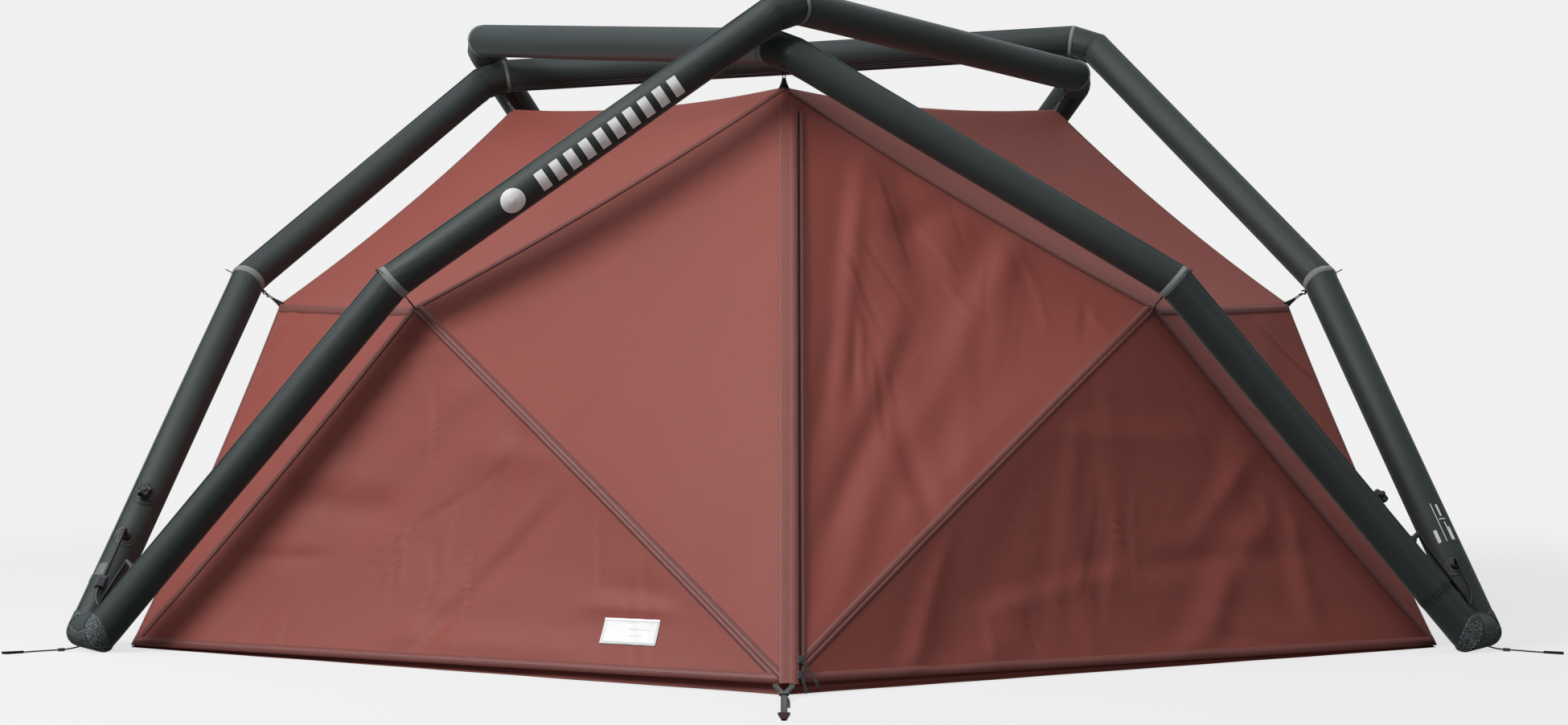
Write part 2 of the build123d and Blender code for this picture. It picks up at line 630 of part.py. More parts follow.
def make_ground_gear():
    """Tie-down, guy cords, tensioners and pegs."""
    pegs = [make_tie_down()]
    cord = round_tube([guy_point(p) for p in GUY_ROUTE], GUY_RADIUS)
    for foot, turn in zip(FOOT_AZIMUTHS, ARCH_TURNS.values()):
        save(f"guy_cord_{foot}", turned(cord, turn))
        save(f"guy_tensioner_{foot}", turned(tensioner(), turn))
        pegs.append(turned(guy_peg(), turn))
    save("ground_pegs", *pegs)


# ---------------------------------------------------------------- inner tent

def front_wall_point(x, height):
    """Point in the flat lower front wall of the inner tent."""
    foot = polar(INNER_FOOT[0], FIRST_FOOT, INNER_FOOT[1])
    elbow = polar(INNER_ELBOW[0], FIRST_FOOT + FLY_ELBOW_ANGLE, INNER_ELBOW[1])
    share = (height - foot.Z) / (elbow.Z - foot.Z)
    return Vector(x, foot.Y + (elbow.Y - foot.Y) * share, height)


def front_wall_edge(height):
    """Half width of the lower front wall at a height."""
    foot = polar(INNER_FOOT[0], FIRST_FOOT, INNER_FOOT[1])
    elbow = polar(INNER_ELBOW[0], FIRST_FOOT + FLY_ELBOW_ANGLE, INNER_ELBOW[1])
    share = (height - foot.Z) / (elbow.Z - foot.Z)
    return -(foot.X + (elbow.X - foot.X) * share)


def inner_front():
    """Panels of the front wall round the door, and the door itself."""
    top = INNER_ELBOW[1]
    door = DOOR_HALF_WIDTH
    outlines = {
        "tub": [(-front_wall_edge(3), 3), (front_wall_edge(3), 3),
                (front_wall_edge(TUB_HEIGHT), TUB_HEIGHT), (-front_wall_edge(TUB_HEIGHT), TUB_HEIGHT)],
        "left": [(-front_wall_edge(TUB_HEIGHT), TUB_HEIGHT), (-door, TUB_HEIGHT), (-door, top),
                 (-front_wall_edge(top), top)],
        "right": [(door, TUB_HEIGHT), (front_wall_edge(TUB_HEIGHT), TUB_HEIGHT),
                  (front_wall_edge(top), top), (door, top)],
        "head": [(-door, DOOR_TOP), (door, DOOR_TOP), (door, top), (-door, top)],
        "door": [(-door, TUB_HEIGHT), (door, TUB_HEIGHT), (door, DOOR_TOP), (-door, DOOR_TOP)],
    }
    return {
        name: sheet([front_wall_point(*p) for p in outline], INNER_APEX, INNER_SCALE)
        for name, outline in outlines.items()
    }


def inner_shell():
    """Roof, side and lobe panels of the inner tent, without its front."""
    panels = [roof_panel(INNER_TOP, INNER_APEX, INNER_SCALE)]
    for azimuth in FOOT_AZIMUTHS.values():
        panels.append(side_panel(azimuth, INNER_ELBOW, INNER_TOP, INNER_APEX, INNER_SCALE))
        panels.append(foot_gusset(azimuth, INNER_ELBOW, INNER_FOOT, INNER_APEX, INNER_SCALE))
    for name in ("rear_left", "rear_right"):
        top, lobe, elbows, feet = lobe_corners(LOBE_AZIMUTHS[name], INNER_TOP, INNER_ELBOW, INNER_FOOT,
                                               INNER_LOBE)
        for side in (-1, 1):
            panels.append(sheet([top, elbows[side], lobe], INNER_APEX, INNER_SCALE))
            panels.append(sheet([elbows[side], feet[side], lobe], INNER_APEX, INNER_SCALE))
    top, _, elbows, _ = lobe_corners(LOBE_AZIMUTHS["front"], INNER_TOP, INNER_ELBOW, INNER_FOOT, INNER_LOBE)
    panels.append(sheet([top, elbows[-1], elbows[1]], INNER_APEX, INNER_SCALE))
    return panels


def make_inner_tent():
    """Groundsheet, tub walls, upper walls, door and the door's zip slider."""
    corners = [polar(INNER_FOOT[0], 210, 0), polar(INNER_LOBE[0], 150, 0), polar(INNER_FOOT[0], 90, 0),
               polar(INNER_LOBE[0], 30, 0), polar(INNER_FOOT[0], 330, 0)]
    outline = Face(Wire.make_polygon(corners, close=True))
    save("groundsheet", extrude(outline, FLOOR_THICKNESS, dir=(0, 0, 1)))
    front = inner_front()
    level = Plane.XY.offset(TUB_HEIGHT)
    tub, walls = [front["tub"]], [front["left"], front["right"], front["head"]]
    for panel in inner_shell():
        box = panel.bounding_box()
        if box.min.Z > TUB_HEIGHT:
            walls.append(panel)
            continue
        tub.append(split(panel, bisect_by=level, keep=Keep.BOTTOM))
        walls.append(split(panel, bisect_by=level, keep=Keep.TOP))
    save("inner_tub", *tub)
    save("inner_walls", *walls)
    save("inner_door", front["door"])
    low = front_wall_point(DOOR_HALF_WIDTH - 12, DOOR_SLIDER_START)
    up = (front_wall_point(DOOR_HALF_WIDTH - 12, DOOR_TOP) - low).normalized()
    out = Vector(1, 0, 0).cross(up)
    place = Plane(origin=low + out * 4, x_dir=(1, 0, 0), z_dir=up)
    save("inner_door_slider", place * fillet(Box(*DOOR_SLIDER_SIZE).edges().filter_by(Axis.Z), 2))
    print("inner slider up", [round(v, 4) for v in up], "at", [round(v, 2) for v in place.origin])


os.makedirs("parts", exist_ok=True)
make_sleeves()
make_bladders()
make_feet()
make_air_fittings()
make_fly()
make_front_zip()
make_label()
make_hangers()
make_ground_gear()
make_inner_tent()
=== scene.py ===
"""Looks of the inflatable three-arch tent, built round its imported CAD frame.

Lengths are metres and +Z is up. The tent's front faces -Y. Azimuths are measured from +X towards +Y.
"""
import json
from math import cos, pi, radians, sin

import bpy
import numpy as np
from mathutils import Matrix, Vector
from mathutils.bvhtree import BVHTree


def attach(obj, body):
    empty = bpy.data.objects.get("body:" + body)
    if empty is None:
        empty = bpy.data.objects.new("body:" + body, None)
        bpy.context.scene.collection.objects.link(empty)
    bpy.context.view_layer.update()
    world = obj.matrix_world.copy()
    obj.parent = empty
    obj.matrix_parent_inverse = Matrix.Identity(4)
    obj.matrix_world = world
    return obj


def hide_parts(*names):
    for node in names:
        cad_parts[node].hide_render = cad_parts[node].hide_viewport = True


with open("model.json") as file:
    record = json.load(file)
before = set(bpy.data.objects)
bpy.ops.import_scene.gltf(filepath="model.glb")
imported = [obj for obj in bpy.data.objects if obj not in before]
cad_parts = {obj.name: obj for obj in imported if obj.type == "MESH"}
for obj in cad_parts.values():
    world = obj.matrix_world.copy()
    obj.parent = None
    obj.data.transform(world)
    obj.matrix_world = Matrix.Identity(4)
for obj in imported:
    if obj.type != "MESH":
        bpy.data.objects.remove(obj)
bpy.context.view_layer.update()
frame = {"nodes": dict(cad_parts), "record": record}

TENT = "tent"
FEET = {"front_left": 0, "front_right": 120, "rear": 240}
ARCHES = {"rear_arch": 0, "right_arch": 120, "left_arch": 240}

# Frame dimensions, as in the CAD model
TUBE = 0.037
ROUND = 56  # steps round a tube
FIRST_FOOT = 210
FOOT = (1.639, 0.043, 0.039)
ELBOW = (1.207, 19, 0.758)
CROSSING = (0.810, 60, 1.271)
CROSSING_OFFSET = 0.0435
CROSSING_TILT = radians(19)
CROSSING_SLEEVE = 0.064
FITTING_SWING = 56

# Fly and inner tent corners: distance from the middle and height, and the elbows' angle from a foot
FLY = {"top": (0.741, 1.160), "elbow": (1.136, 0.705), "foot": (1.558, 0.005), "lobe": (1.650, 0.021)}
INNER = {"top": (0.690, 1.100), "elbow": (1.050, 0.650), "foot": (1.440, 0.003), "lobe": (1.535, 0.003)}
FLY_ELBOW_ANGLE = 18.25
LOBES = {"front": 270, "rear_right": 30, "rear_left": 150}

# Sag of edges as a share of their length, and depth of a panel's hollow
FLY_SAG, FLY_HOLLOW = 0.017, 0.016
INNER_SAG, INNER_HOLLOW = 0.008, 0.008

# Camera: lens and sensor in millimetres, place in metres, and degrees below level
LENS, SENSOR = 86.26, 36
CAMERA_PLACE = (0, -8.532, 0.787)
CAMERA_DIP = 1.455

# Studio lights: place, point aimed at, size and power
LIGHTS = {
    "key": ((-4.5, -3.2, 4.9), (0, 0, 0.5), 2.6, 350),
    "top": ((-0.5, -0.8, 6.0), (0, 0, 0.6), 4.0, 90),
    "fill": ((5.0, -6.5, 2.5), (0, 0, 0.6), 3.0, 60),
}

# Stage: glow of the paper far from the tent, and (glow, reflectance) of each part near the tent
PAPER = 0.874
FLOOR_PAPER = (0.685, 0.16)
BACKDROP_PAPER = (0.65, 0.2)


# ---------------------------------------------------------------- camera, light and floor

def make_camera():
    """Long lens, slightly above the tent's middle, looking along +Y and a little down."""
    camera = bpy.data.cameras.new("camera")
    camera.lens = LENS
    camera.sensor_width = SENSOR
    holder = bpy.data.objects.new("camera", camera)
    holder.location = CAMERA_PLACE
    holder.rotation_euler = (radians(90 - CAMERA_DIP), 0, 0)
    bpy.context.collection.objects.link(holder)
    bpy.context.scene.camera = holder


def area_light(name, place, target, size, power):
    """A square studio light aimed at a point."""
    light = bpy.data.lights.new(name, "AREA")
    light.shape = "SQUARE"
    light.size = size
    light.energy = power
    holder = bpy.data.objects.new(name, light)
    holder.location = place
    holder.rotation_euler = (Vector(target) - Vector(place)).to_track_quat("-Z", "Y").to_euler()
    bpy.context.collection.objects.link(holder)


def make_world():
    """Soft surround: dim from below, brighter from above and from the left."""
    world = bpy.data.worlds.new("studio")
    world.use_nodes = True
    bpy.context.scene.world = world
    nodes = NodeTree(world)
    parts = nodes.add("SeparateXYZ")
    nodes.feed(parts.inputs[0], nodes.add("TexCoord").outputs["Generated"])
    height = nodes.ramp(parts.outputs[2], -0.25, 0.55)
    left = nodes.ramp(nodes.math("MULTIPLY", parts.outputs[0], -1.0), -0.6, 0.8)
    strength = nodes.math("ADD", nodes.math("MULTIPLY", height, 0.25), nodes.math("MULTIPLY", left, 0.14))
    background = world.node_tree.nodes["Background"]
    background.inputs["Color"].default_value = (0.97, 0.985, 1, 1)
    nodes.feed(background.inputs["Strength"], nodes.math("ADD", strength, 0.07))


def stage_piece(name, verts, glow, albedo):
    """One sheet of the backdrop: mostly self-lit paper that takes soft shadows and leaves the tent's light alone."""
    mesh = bpy.data.meshes.new(name)
    mesh.from_pydata(verts, [], [(0, 1, 2, 3)])
    piece = bpy.data.objects.new(name, mesh)
    bpy.context.collection.objects.link(piece)
    piece.visible_diffuse = False
    piece.visible_glossy = False
    mat, shader, nodes = new_material(name + "_paper", (albedo,) * 3, 1.0)
    settle(shader, Specular_IOR_Level=0.0, Emission_Color=(1, 1, 1, 1))
    parts = nodes.add("SeparateXYZ")
    nodes.feed(parts.inputs[0], nodes.add("TexCoord").outputs["Object"])
    x, y = parts.outputs[0], parts.outputs[1]
    reach = nodes.math("SQRT", nodes.math("ADD", nodes.math("MULTIPLY", x, x), nodes.math("MULTIPLY", y, y)))
    far = nodes.ramp(reach, 1.9, 4.0)
    near = nodes.math("SUBTRACT", 1.0, far)
    grain = nodes.math("MULTIPLY", nodes.noise(nodes.add("TexCoord").outputs["Object"], 40.0), 0.004)
    light = nodes.math("ADD", nodes.math("MULTIPLY", far, PAPER), nodes.math("MULTIPLY", near, glow))
    nodes.feed(shader.inputs["Emission Strength"], nodes.math("ADD", light, grain))
    nodes.feed(shader.inputs["Base Color"], nodes.mix(near, (0, 0, 0), (albedo,) * 3))
    mesh.materials.append(mat)


def make_stage():
    """Pale floor and backdrop, a soft surround and three studio lights."""
    bpy.context.scene.view_settings.view_transform = "Standard"
    make_world()
    stage_piece("studio_floor", [(-40, -14, 0), (40, -14, 0), (40, 30, 0), (-40, 30, 0)], *FLOOR_PAPER)
    stage_piece("studio_backdrop", [(-40, 30, 0), (40, 30, 0), (40, 30, 30), (-40, 30, 30)], *BACKDROP_PAPER)
    for name, values in LIGHTS.items():
        area_light(name, *values)


# ---------------------------------------------------------------- materials

FLY_RED = (0.27, 0.066, 0.052)
TUBE_GREY = (0.027, 0.036, 0.036)
RIPSTOP_PITCH = 0.0056


class NodeTree:
    """Short ways to add and join shader nodes."""

    def __init__(self, owner):
        self.tree = owner.node_tree

    def add(self, kind, **values):
        """A node; values are properties, or inputs by their name with spaces as underscores."""
        node = self.tree.nodes.new("ShaderNode" + kind)
        for key, value in values.items():
            if hasattr(node, key):
                setattr(node, key, value)
            else:
                self.feed(node.inputs[key.replace("_", " ")], value)
        return node

    def feed(self, socket, value):
        """Set a socket to a constant, or link it to another node's output."""
        if isinstance(value, bpy.types.NodeSocket):
            self.tree.links.new(value, socket)
        else:
            socket.default_value = value

    def math(self, operation, first, second=0.0):
        """Output of one arithmetic node."""
        node = self.add("Math", operation=operation)
        self.feed(node.inputs[0], first)
        self.feed(node.inputs[1], second)
        return node.outputs[0]

    def mix(self, factor, first, second):
        """Output of a colour mix."""
        node = self.add("Mix", data_type="RGBA")
        self.feed(node.inputs[0], factor)
        for socket, value in ((node.inputs[6], first), (node.inputs[7], second)):
            self.feed(socket, value if isinstance(value, bpy.types.NodeSocket) else (*value, 1))
        return node.outputs[2]

    def ramp(self, value, low, high):
        """0 below low and 1 above high, with a smooth step between."""
        node = self.add("MapRange", interpolation_type="SMOOTHSTEP")
        self.feed(node.inputs["Value"], value)
        node.inputs["From Min"].default_value = low
        node.inputs["From Max"].default_value = high
        return node.outputs["Result"]

    def noise(self, vector, scale, detail=3.0, roughness=0.5):
        """Output of a noise texture."""
        node = self.add("TexNoise", Scale=scale, Detail=detail, Roughness=roughness)
        self.feed(node.inputs["Vector"], vector)
        return node.outputs["Fac"]

    def stripes(self, value, pitch, share):
        """1 on a thin line in each pitch of a coordinate, and 0 between the lines."""
        phase = self.math("FRACT", self.math("DIVIDE", value, pitch))
        distance = self.math("ABSOLUTE", self.math("SUBTRACT", phase, 0.5))
        return self.ramp(distance, 0.5 - share, 0.5 - share * 0.5)


def new_material(name, colour, roughness):
    """A plain principled material, its shader and its node helper."""
    mat = bpy.data.materials.new(name)
    mat.use_nodes = True
    shader = mat.node_tree.nodes["Principled BSDF"]
    shader.inputs["Base Color"].default_value = (*colour, 1)
    shader.inputs["Roughness"].default_value = roughness
    return mat, shader, NodeTree(mat)


def settle(shader, **values):
    """Set inputs of a shader by their name with spaces as underscores."""
    for key, value in values.items():
        shader.inputs[key.replace("_", " ")].default_value = value


def tinted(colour, factor):
    """A colour made lighter or darker."""
    return tuple(min(1.0, c * factor) for c in colour)


def cloth_coordinates(nodes):
    """The two coordinates in the cloth, in metres."""
    uv = nodes.add("UVMap", uv_map="Cloth")
    parts = nodes.add("SeparateXYZ")
    nodes.feed(parts.inputs[0], uv.outputs[0])
    return uv.outputs[0], parts.outputs[0], parts.outputs[1]


def bump(nodes, shader, height, distance, strength=1.0):
    """Feed a height into the shader's normal."""
    node = nodes.add("Bump", Distance=distance, Strength=strength, Height=height)
    nodes.feed(shader.inputs["Normal"], node.outputs[0])


def ripstop(name, colour, roughness=0.5, pitch=RIPSTOP_PITCH, sheen=0.06, fade=0.09):
    """Coated ripstop: a square grid of thicker threads over a fine weave, with soft colour drift."""
    mat, shader, nodes = new_material(name, colour, roughness)
    uv, u, v = cloth_coordinates(nodes)
    grid = nodes.math("MAXIMUM", nodes.stripes(u, pitch, 0.14), nodes.stripes(v, pitch, 0.14))
    weave = nodes.math("MULTIPLY", nodes.stripes(u, 0.0009, 0.5), nodes.stripes(v, 0.0009, 0.5))
    drift = nodes.noise(uv, 2.3, 4, 0.55)
    mottle = nodes.noise(uv, 38.0, 3, 0.6)
    tone = nodes.math("ADD", nodes.math("MULTIPLY", drift, 0.7), nodes.math("MULTIPLY", mottle, 0.3))
    base = nodes.mix(tone, tinted(colour, 1 - fade), tinted(colour, 1 + fade))
    threads = nodes.mix(nodes.math("MULTIPLY", grid, 0.35), base, tinted(colour, 0.62))
    nodes.feed(shader.inputs["Base Color"], threads)
    rough = nodes.math("ADD", nodes.math("MULTIPLY", mottle, 0.12), roughness - 0.06)
    nodes.feed(shader.inputs["Roughness"], rough)
    settle(shader, Sheen_Weight=sheen, Sheen_Roughness=0.45, Sheen_Tint=(1, 0.8, 0.76, 1), Specular_IOR_Level=0.22)
    crumple = nodes.noise(uv, 14.0, 5, 0.55)
    height = nodes.math("ADD", nodes.math("MULTIPLY", grid, 0.09), nodes.math("MULTIPLY", weave, 0.04))
    height = nodes.math("ADD", height, nodes.math("MULTIPLY", crumple, 0.9))
    bump(nodes, shader, height, 0.0016, 0.55)
    return mat


def tube_cloth(name, colour, roughness=0.52):
    """Heavy coated cloth of the inflated tubes: fine plain weave, scuffs and a soft sheen."""
    mat, shader, nodes = new_material(name, colour, roughness)
    uv, u, v = cloth_coordinates(nodes)
    weave = nodes.math("ADD", nodes.stripes(u, 0.0014, 0.45), nodes.stripes(v, 0.0014, 0.45))
    drift = nodes.noise(uv, 5.0, 4, 0.6)
    speckle = nodes.noise(uv, 420.0, 2, 0.6)
    tone = nodes.math("ADD", nodes.math("MULTIPLY", drift, 0.6), nodes.math("MULTIPLY", speckle, 0.4))
    nodes.feed(shader.inputs["Base Color"], nodes.mix(tone, tinted(colour, 0.72), tinted(colour, 1.3)))
    nodes.feed(shader.inputs["Roughness"], nodes.math("ADD", nodes.math("MULTIPLY", drift, 0.2), roughness - 0.1))
    settle(shader, Sheen_Weight=0.18, Sheen_Roughness=0.4, Sheen_Tint=(0.85, 1, 1, 1), Specular_IOR_Level=0.34)
    height = nodes.math("ADD", nodes.math("MULTIPLY", weave, 0.12), nodes.math("MULTIPLY", speckle, 0.35))
    height = nodes.math("ADD", height, nodes.math("MULTIPLY", drift, 1.0))
    bump(nodes, shader, height, 0.0006, 0.6)
    return mat


def webbing_cloth(name, colour, pitch=0.0022, roughness=0.75):
    """Woven tape: diagonal ribs with lighter thread tops."""
    mat, shader, nodes = new_material(name, colour, roughness)
    uv, u, v = cloth_coordinates(nodes)
    ribs = nodes.stripes(nodes.math("ADD", u, v), pitch, 0.5)
    cross = nodes.stripes(nodes.math("SUBTRACT", u, v), pitch, 0.5)
    weave = nodes.math("MULTIPLY", ribs, cross)
    fuzz = nodes.noise(uv, 600.0, 2)
    nodes.feed(shader.inputs["Base Color"], nodes.mix(weave, tinted(colour, 0.72), tinted(colour, 1.25)))
    settle(shader, Sheen_Weight=0.3)
    bump(nodes, shader, nodes.math("ADD", weave, nodes.math("MULTIPLY", fuzz, 0.4)), 0.0004, 0.8)
    return mat


def seam_cloth(name, colour):
    """Folded seam of the fly: doubled ripstop with two rows of chain stitches."""
    mat, shader, nodes = new_material(name, colour, 0.55)
    uv, u, v = cloth_coordinates(nodes)
    grid = nodes.math("MAXIMUM", nodes.stripes(u, RIPSTOP_PITCH, 0.14), nodes.stripes(v, RIPSTOP_PITCH, 0.14))
    rows = nodes.stripes(nodes.math("ADD", v, 0.0045), 0.013, 0.09)
    stitch = nodes.math("MULTIPLY", rows, nodes.stripes(u, 0.0038, 0.36))
    drift = nodes.noise(uv, 30.0, 3)
    base = nodes.mix(drift, tinted(colour, 0.88), tinted(colour, 1.1))
    base = nodes.mix(nodes.math("MULTIPLY", grid, 0.3), base, tinted(colour, 0.65))
    nodes.feed(shader.inputs["Base Color"], nodes.mix(stitch, base, tinted(colour, 0.35)))
    settle(shader, Sheen_Weight=0.1)
    height = nodes.math("SUBTRACT", nodes.math("MULTIPLY", drift, 0.6), nodes.math("MULTIPLY", rows, 0.5))
    bump(nodes, shader, nodes.math("ADD", height, stitch), 0.0007, 0.7)
    return mat


def moulded(name, colour, roughness=0.42, grain=1500.0):
    """Moulded plastic or rubber with a fine spark-eroded grain and lighter worn spots."""
    mat, shader, nodes = new_material(name, colour, roughness)
    place = nodes.add("TexCoord").outputs["Object"]
    fine = nodes.noise(place, grain, 2)
    wear = nodes.noise(place, 60.0, 4, 0.65)
    nodes.feed(shader.inputs["Base Color"], nodes.mix(wear, tinted(colour, 0.8), tinted(colour, 1.35)))
    nodes.feed(shader.inputs["Roughness"], nodes.math("ADD", nodes.math("MULTIPLY", wear, 0.25), roughness - 0.1))
    bump(nodes, shader, fine, 0.00025, 0.5)
    return mat


def grip_rubber(name, colour):
    """Dark rubber whose raised scales are worn to a lighter grey."""
    mat, shader, nodes = new_material(name, colour, 0.6)
    uv, u, v = cloth_coordinates(nodes)
    cells = nodes.add("TexVoronoi", feature="DISTANCE_TO_EDGE", Scale=235.0)
    nodes.feed(cells.inputs["Vector"], uv)
    scales = nodes.ramp(cells.outputs["Distance"], 0.05, 0.25)
    worn = nodes.math("MULTIPLY", scales, nodes.math("ADD", 0.55, nodes.noise(uv, 90.0)))
    nodes.feed(shader.inputs["Base Color"], nodes.mix(worn, tinted(colour, 0.6), tinted(colour, 4.6)))
    bump(nodes, shader, scales, 0.0006, 0.8)
    return mat


def painted(name, colour):
    """Painted metal with fine scratches."""
    mat, shader, nodes = new_material(name, colour, 0.4)
    place = nodes.add("TexCoord").outputs["Object"]
    stretch = nodes.add("Mapping", Scale=(900, 60, 900))
    nodes.feed(stretch.inputs["Vector"], place)
    scratch = nodes.noise(stretch.outputs[0], 1.0, 4, 0.7)
    worn = nodes.ramp(scratch, 0.62, 0.75)
    nodes.feed(shader.inputs["Base Color"], nodes.mix(worn, colour, tinted(colour, 2.4)))
    settle(shader, Metallic=0.25)
    bump(nodes, shader, scratch, 0.0002, 0.4)
    return mat


def braid(name, colour):
    """Round braided cord."""
    mat, shader, nodes = new_material(name, colour, 0.7)
    place = nodes.add("TexCoord").outputs["Object"]
    wave = nodes.add("TexWave", Scale=210.0, Distortion=2.0, bands_direction="DIAGONAL")
    nodes.feed(wave.inputs["Vector"], place)
    nodes.feed(shader.inputs["Base Color"], nodes.mix(wave.outputs["Fac"], tinted(colour, 0.7), tinted(colour, 2.0)))
    settle(shader, Sheen_Weight=0.2)
    bump(nodes, shader, wave.outputs["Fac"], 0.0004, 0.8)
    return mat


def mesh_cloth(name, colour):
    """Fine insect mesh: dark threads over a slightly lighter ground."""
    mat, shader, nodes = new_material(name, colour, 0.8)
    _, u, v = cloth_coordinates(nodes)
    grid = nodes.math("MAXIMUM", nodes.stripes(u, 0.0016, 0.2), nodes.stripes(v, 0.0016, 0.2))
    nodes.feed(shader.inputs["Base Color"], nodes.mix(grid, tinted(colour, 1.8), tinted(colour, 0.5)))
    bump(nodes, shader, grid, 0.0003, 0.8)
    return mat


def woven_label(name, colour):
    """Pale satin label with a faint stitched border and two plain grey bars."""
    mat, shader, nodes = new_material(name, colour, 0.5)
    uv, u, v = cloth_coordinates(nodes)
    ribs = nodes.stripes(v, 0.0008, 0.5)

    def bar(low_u, high_u, low_v, high_v):
        inside = nodes.math("MULTIPLY", nodes.math("GREATER_THAN", u, low_u), nodes.math("LESS_THAN", u, high_u))
        level = nodes.math("MULTIPLY", nodes.math("GREATER_THAN", v, low_v), nodes.math("LESS_THAN", v, high_v))
        return nodes.math("MULTIPLY", inside, level)

    marks = nodes.math("MAXIMUM", bar(0.0, 0.045, 0.004, 0.0052), bar(0.0, 0.03, -0.008, -0.0068))
    base = nodes.mix(ribs, tinted(colour, 0.93), colour)
    nodes.feed(shader.inputs["Base Color"], nodes.mix(nodes.math("MULTIPLY", marks, 0.6), base, (0.45, 0.45, 0.45)))
    bump(nodes, shader, nodes.math("ADD", ribs, nodes.noise(uv, 60.0)), 0.0003, 0.5)
    return mat


MATERIALS = {
    "sleeve_fabric": tube_cloth("tube_cloth", TUBE_GREY),
    "crossing_fabric": tube_cloth("crossing_cloth", tinted(TUBE_GREY, 0.78)),
    "bladder_film": moulded("bladder_film", (0.7, 0.73, 0.73), 0.25),
    "band_webbing": webbing_cloth("band_webbing", (0.20, 0.225, 0.225)),
    "foot_grip": grip_rubber("foot_grip", (0.034, 0.042, 0.042)),
    "valve_plastic": moulded("valve_plastic", (0.018, 0.022, 0.022), 0.4),
    "hose_rubber": moulded("hose_rubber", (0.016, 0.019, 0.019), 0.45),
    "clamp_plastic": moulded("clamp_plastic", (0.03, 0.034, 0.045), 0.4),
    "fly_fabric": ripstop("fly_ripstop", FLY_RED),
    "hem_fabric": ripstop("hem_ripstop", tinted(FLY_RED, 0.7)),
    "zip_fabric": webbing_cloth("zip_tape_cloth", tinted(FLY_RED, 0.72), 0.0012),
    "zip_metal": painted("slider_paint", (0.035, 0.045, 0.055)),
    "pull_cord": braid("pull_cord", (0.008, 0.0085, 0.0095)),
    "label_fabric": woven_label("label_satin", (0.97, 0.97, 0.96)),
    "tab_fabric": webbing_cloth("tab_webbing", (0.012, 0.013, 0.014)),
    "webbing": webbing_cloth("strap_webbing", (0.020, 0.024, 0.024)),
    "lock_plastic": moulded("lock_plastic", (0.075, 0.088, 0.088), 0.42),
    "guy_cord": braid("guy_cord", (0.012, 0.014, 0.015)),
    "peg_metal": painted("peg_paint", (0.006, 0.006, 0.006)),
    "groundsheet_fabric": tube_cloth("groundsheet_cloth", (0.07, 0.075, 0.075), 0.45),
    "inner_fabric": ripstop("inner_ripstop", (0.5, 0.49, 0.46), 0.7, 0.0045, 0.1),
    "door_mesh": mesh_cloth("door_mesh", (0.02, 0.02, 0.02)),
}
SEAM = seam_cloth("fly_seam", tinted(FLY_RED, 0.66))
SEAM_FLAP = seam_cloth("flap_cloth", tinted(FLY_RED, 0.86))
PRINT = moulded("print_white", (0.75, 0.75, 0.73), 0.5)
PRINT_GREY = moulded("print_grey", (0.10, 0.12, 0.12), 0.5)
PRINT_BLACK = moulded("print_black", (0.008, 0.009, 0.009), 0.6)
CHAIN = moulded("zip_chain_nylon", (0.035, 0.012, 0.011), 0.5)
PIPING_RIM_HIGHLIGHT = tube_cloth("piping_rim_highlight_cloth", tinted(TUBE_GREY, 1.7), 0.5)
# Seam cords in a cloth lighter than the tubes: partly real seam, partly a painted rim highlight along the tube edges
PATCH = tube_cloth("weld_patch", tinted(TUBE_GREY, 0.9), 0.45)


# ---------------------------------------------------------------- mesh helpers

def unit(vector):
    """A vector, or each of several, at length one."""
    vector = np.asarray(vector, float)
    return vector / np.linalg.norm(vector, axis=-1, keepdims=True)


def polar(radius, azimuth, height):
    """A point from its distance to the Z axis, its azimuth and its height."""
    return np.array([radius * cos(radians(azimuth)), radius * sin(radians(azimuth)), height])


def spun(points, angle):
    """Points turned about the Z axis by an angle in degrees."""
    c, s = cos(radians(angle)), sin(radians(angle))
    return np.asarray(points, float) @ np.array([[c, s, 0], [-s, c, 0], [0, 0, 1]])


def add_piece(name, verts, faces, slot, material=None, uv=None, body=TENT, replaces=(), smooth=True):
    """A new mesh piece with its cloth coordinates, material, body and the CAD nodes it stands for."""
    mesh = bpy.data.meshes.new(name)
    mesh.from_pydata(np.asarray(verts).tolist(), [], [list(map(int, f)) for f in faces])
    if uv is not None:
        layer = mesh.uv_layers.new(name="Cloth")
        corners = np.empty(len(mesh.loops), dtype=int)
        mesh.loops.foreach_get("vertex_index", corners)
        uv = np.asarray(uv)
        values = uv[corners] if len(uv) == len(mesh.vertices) else uv
        layer.data.foreach_set("uv", values[:, :2].ravel())
    mesh.polygons.foreach_set("use_smooth", [smooth] * len(mesh.polygons))
    mesh.materials.append(material or MATERIALS[slot])
    piece = bpy.data.objects.new(name, mesh)
    bpy.context.collection.objects.link(piece)
    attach(piece, body)
    if replaces:
        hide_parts(*replaces)
    return piece


def grid_faces(rows, columns, wrap=False, start=0):
    """Quads over a grid of points stored row by row."""
    across = columns if wrap else columns - 1
    r, c = np.meshgrid(np.arange(rows - 1), np.arange(across), indexing="ij")
    nxt = (c + 1) % columns
    return (np.stack([r * columns + c, r * columns + nxt, (r + 1) * columns + nxt, (r + 1) * columns + c],
                     axis=-1).reshape(-1, 4) + start)


def capped(rows, columns):
    """Faces of a closed tube: quads between its rings and one face over each end."""
    last = (rows - 1) * columns
    sides = [tuple(f) for f in grid_faces(rows, columns, wrap=True)]
    return sides + [tuple(range(columns))[::-1], tuple(range(last, last + columns))]


def radials(angles, first, second):
    """Directions at angles from a first towards a second cross direction."""
    return np.cos(angles)[..., None] * first + np.sin(angles)[..., None] * second


def lengths_along(points):
    """Distance of each point from the first one, along the line."""
    return np.concatenate([[0], np.cumsum(np.linalg.norm(np.diff(points, axis=0), axis=1))])


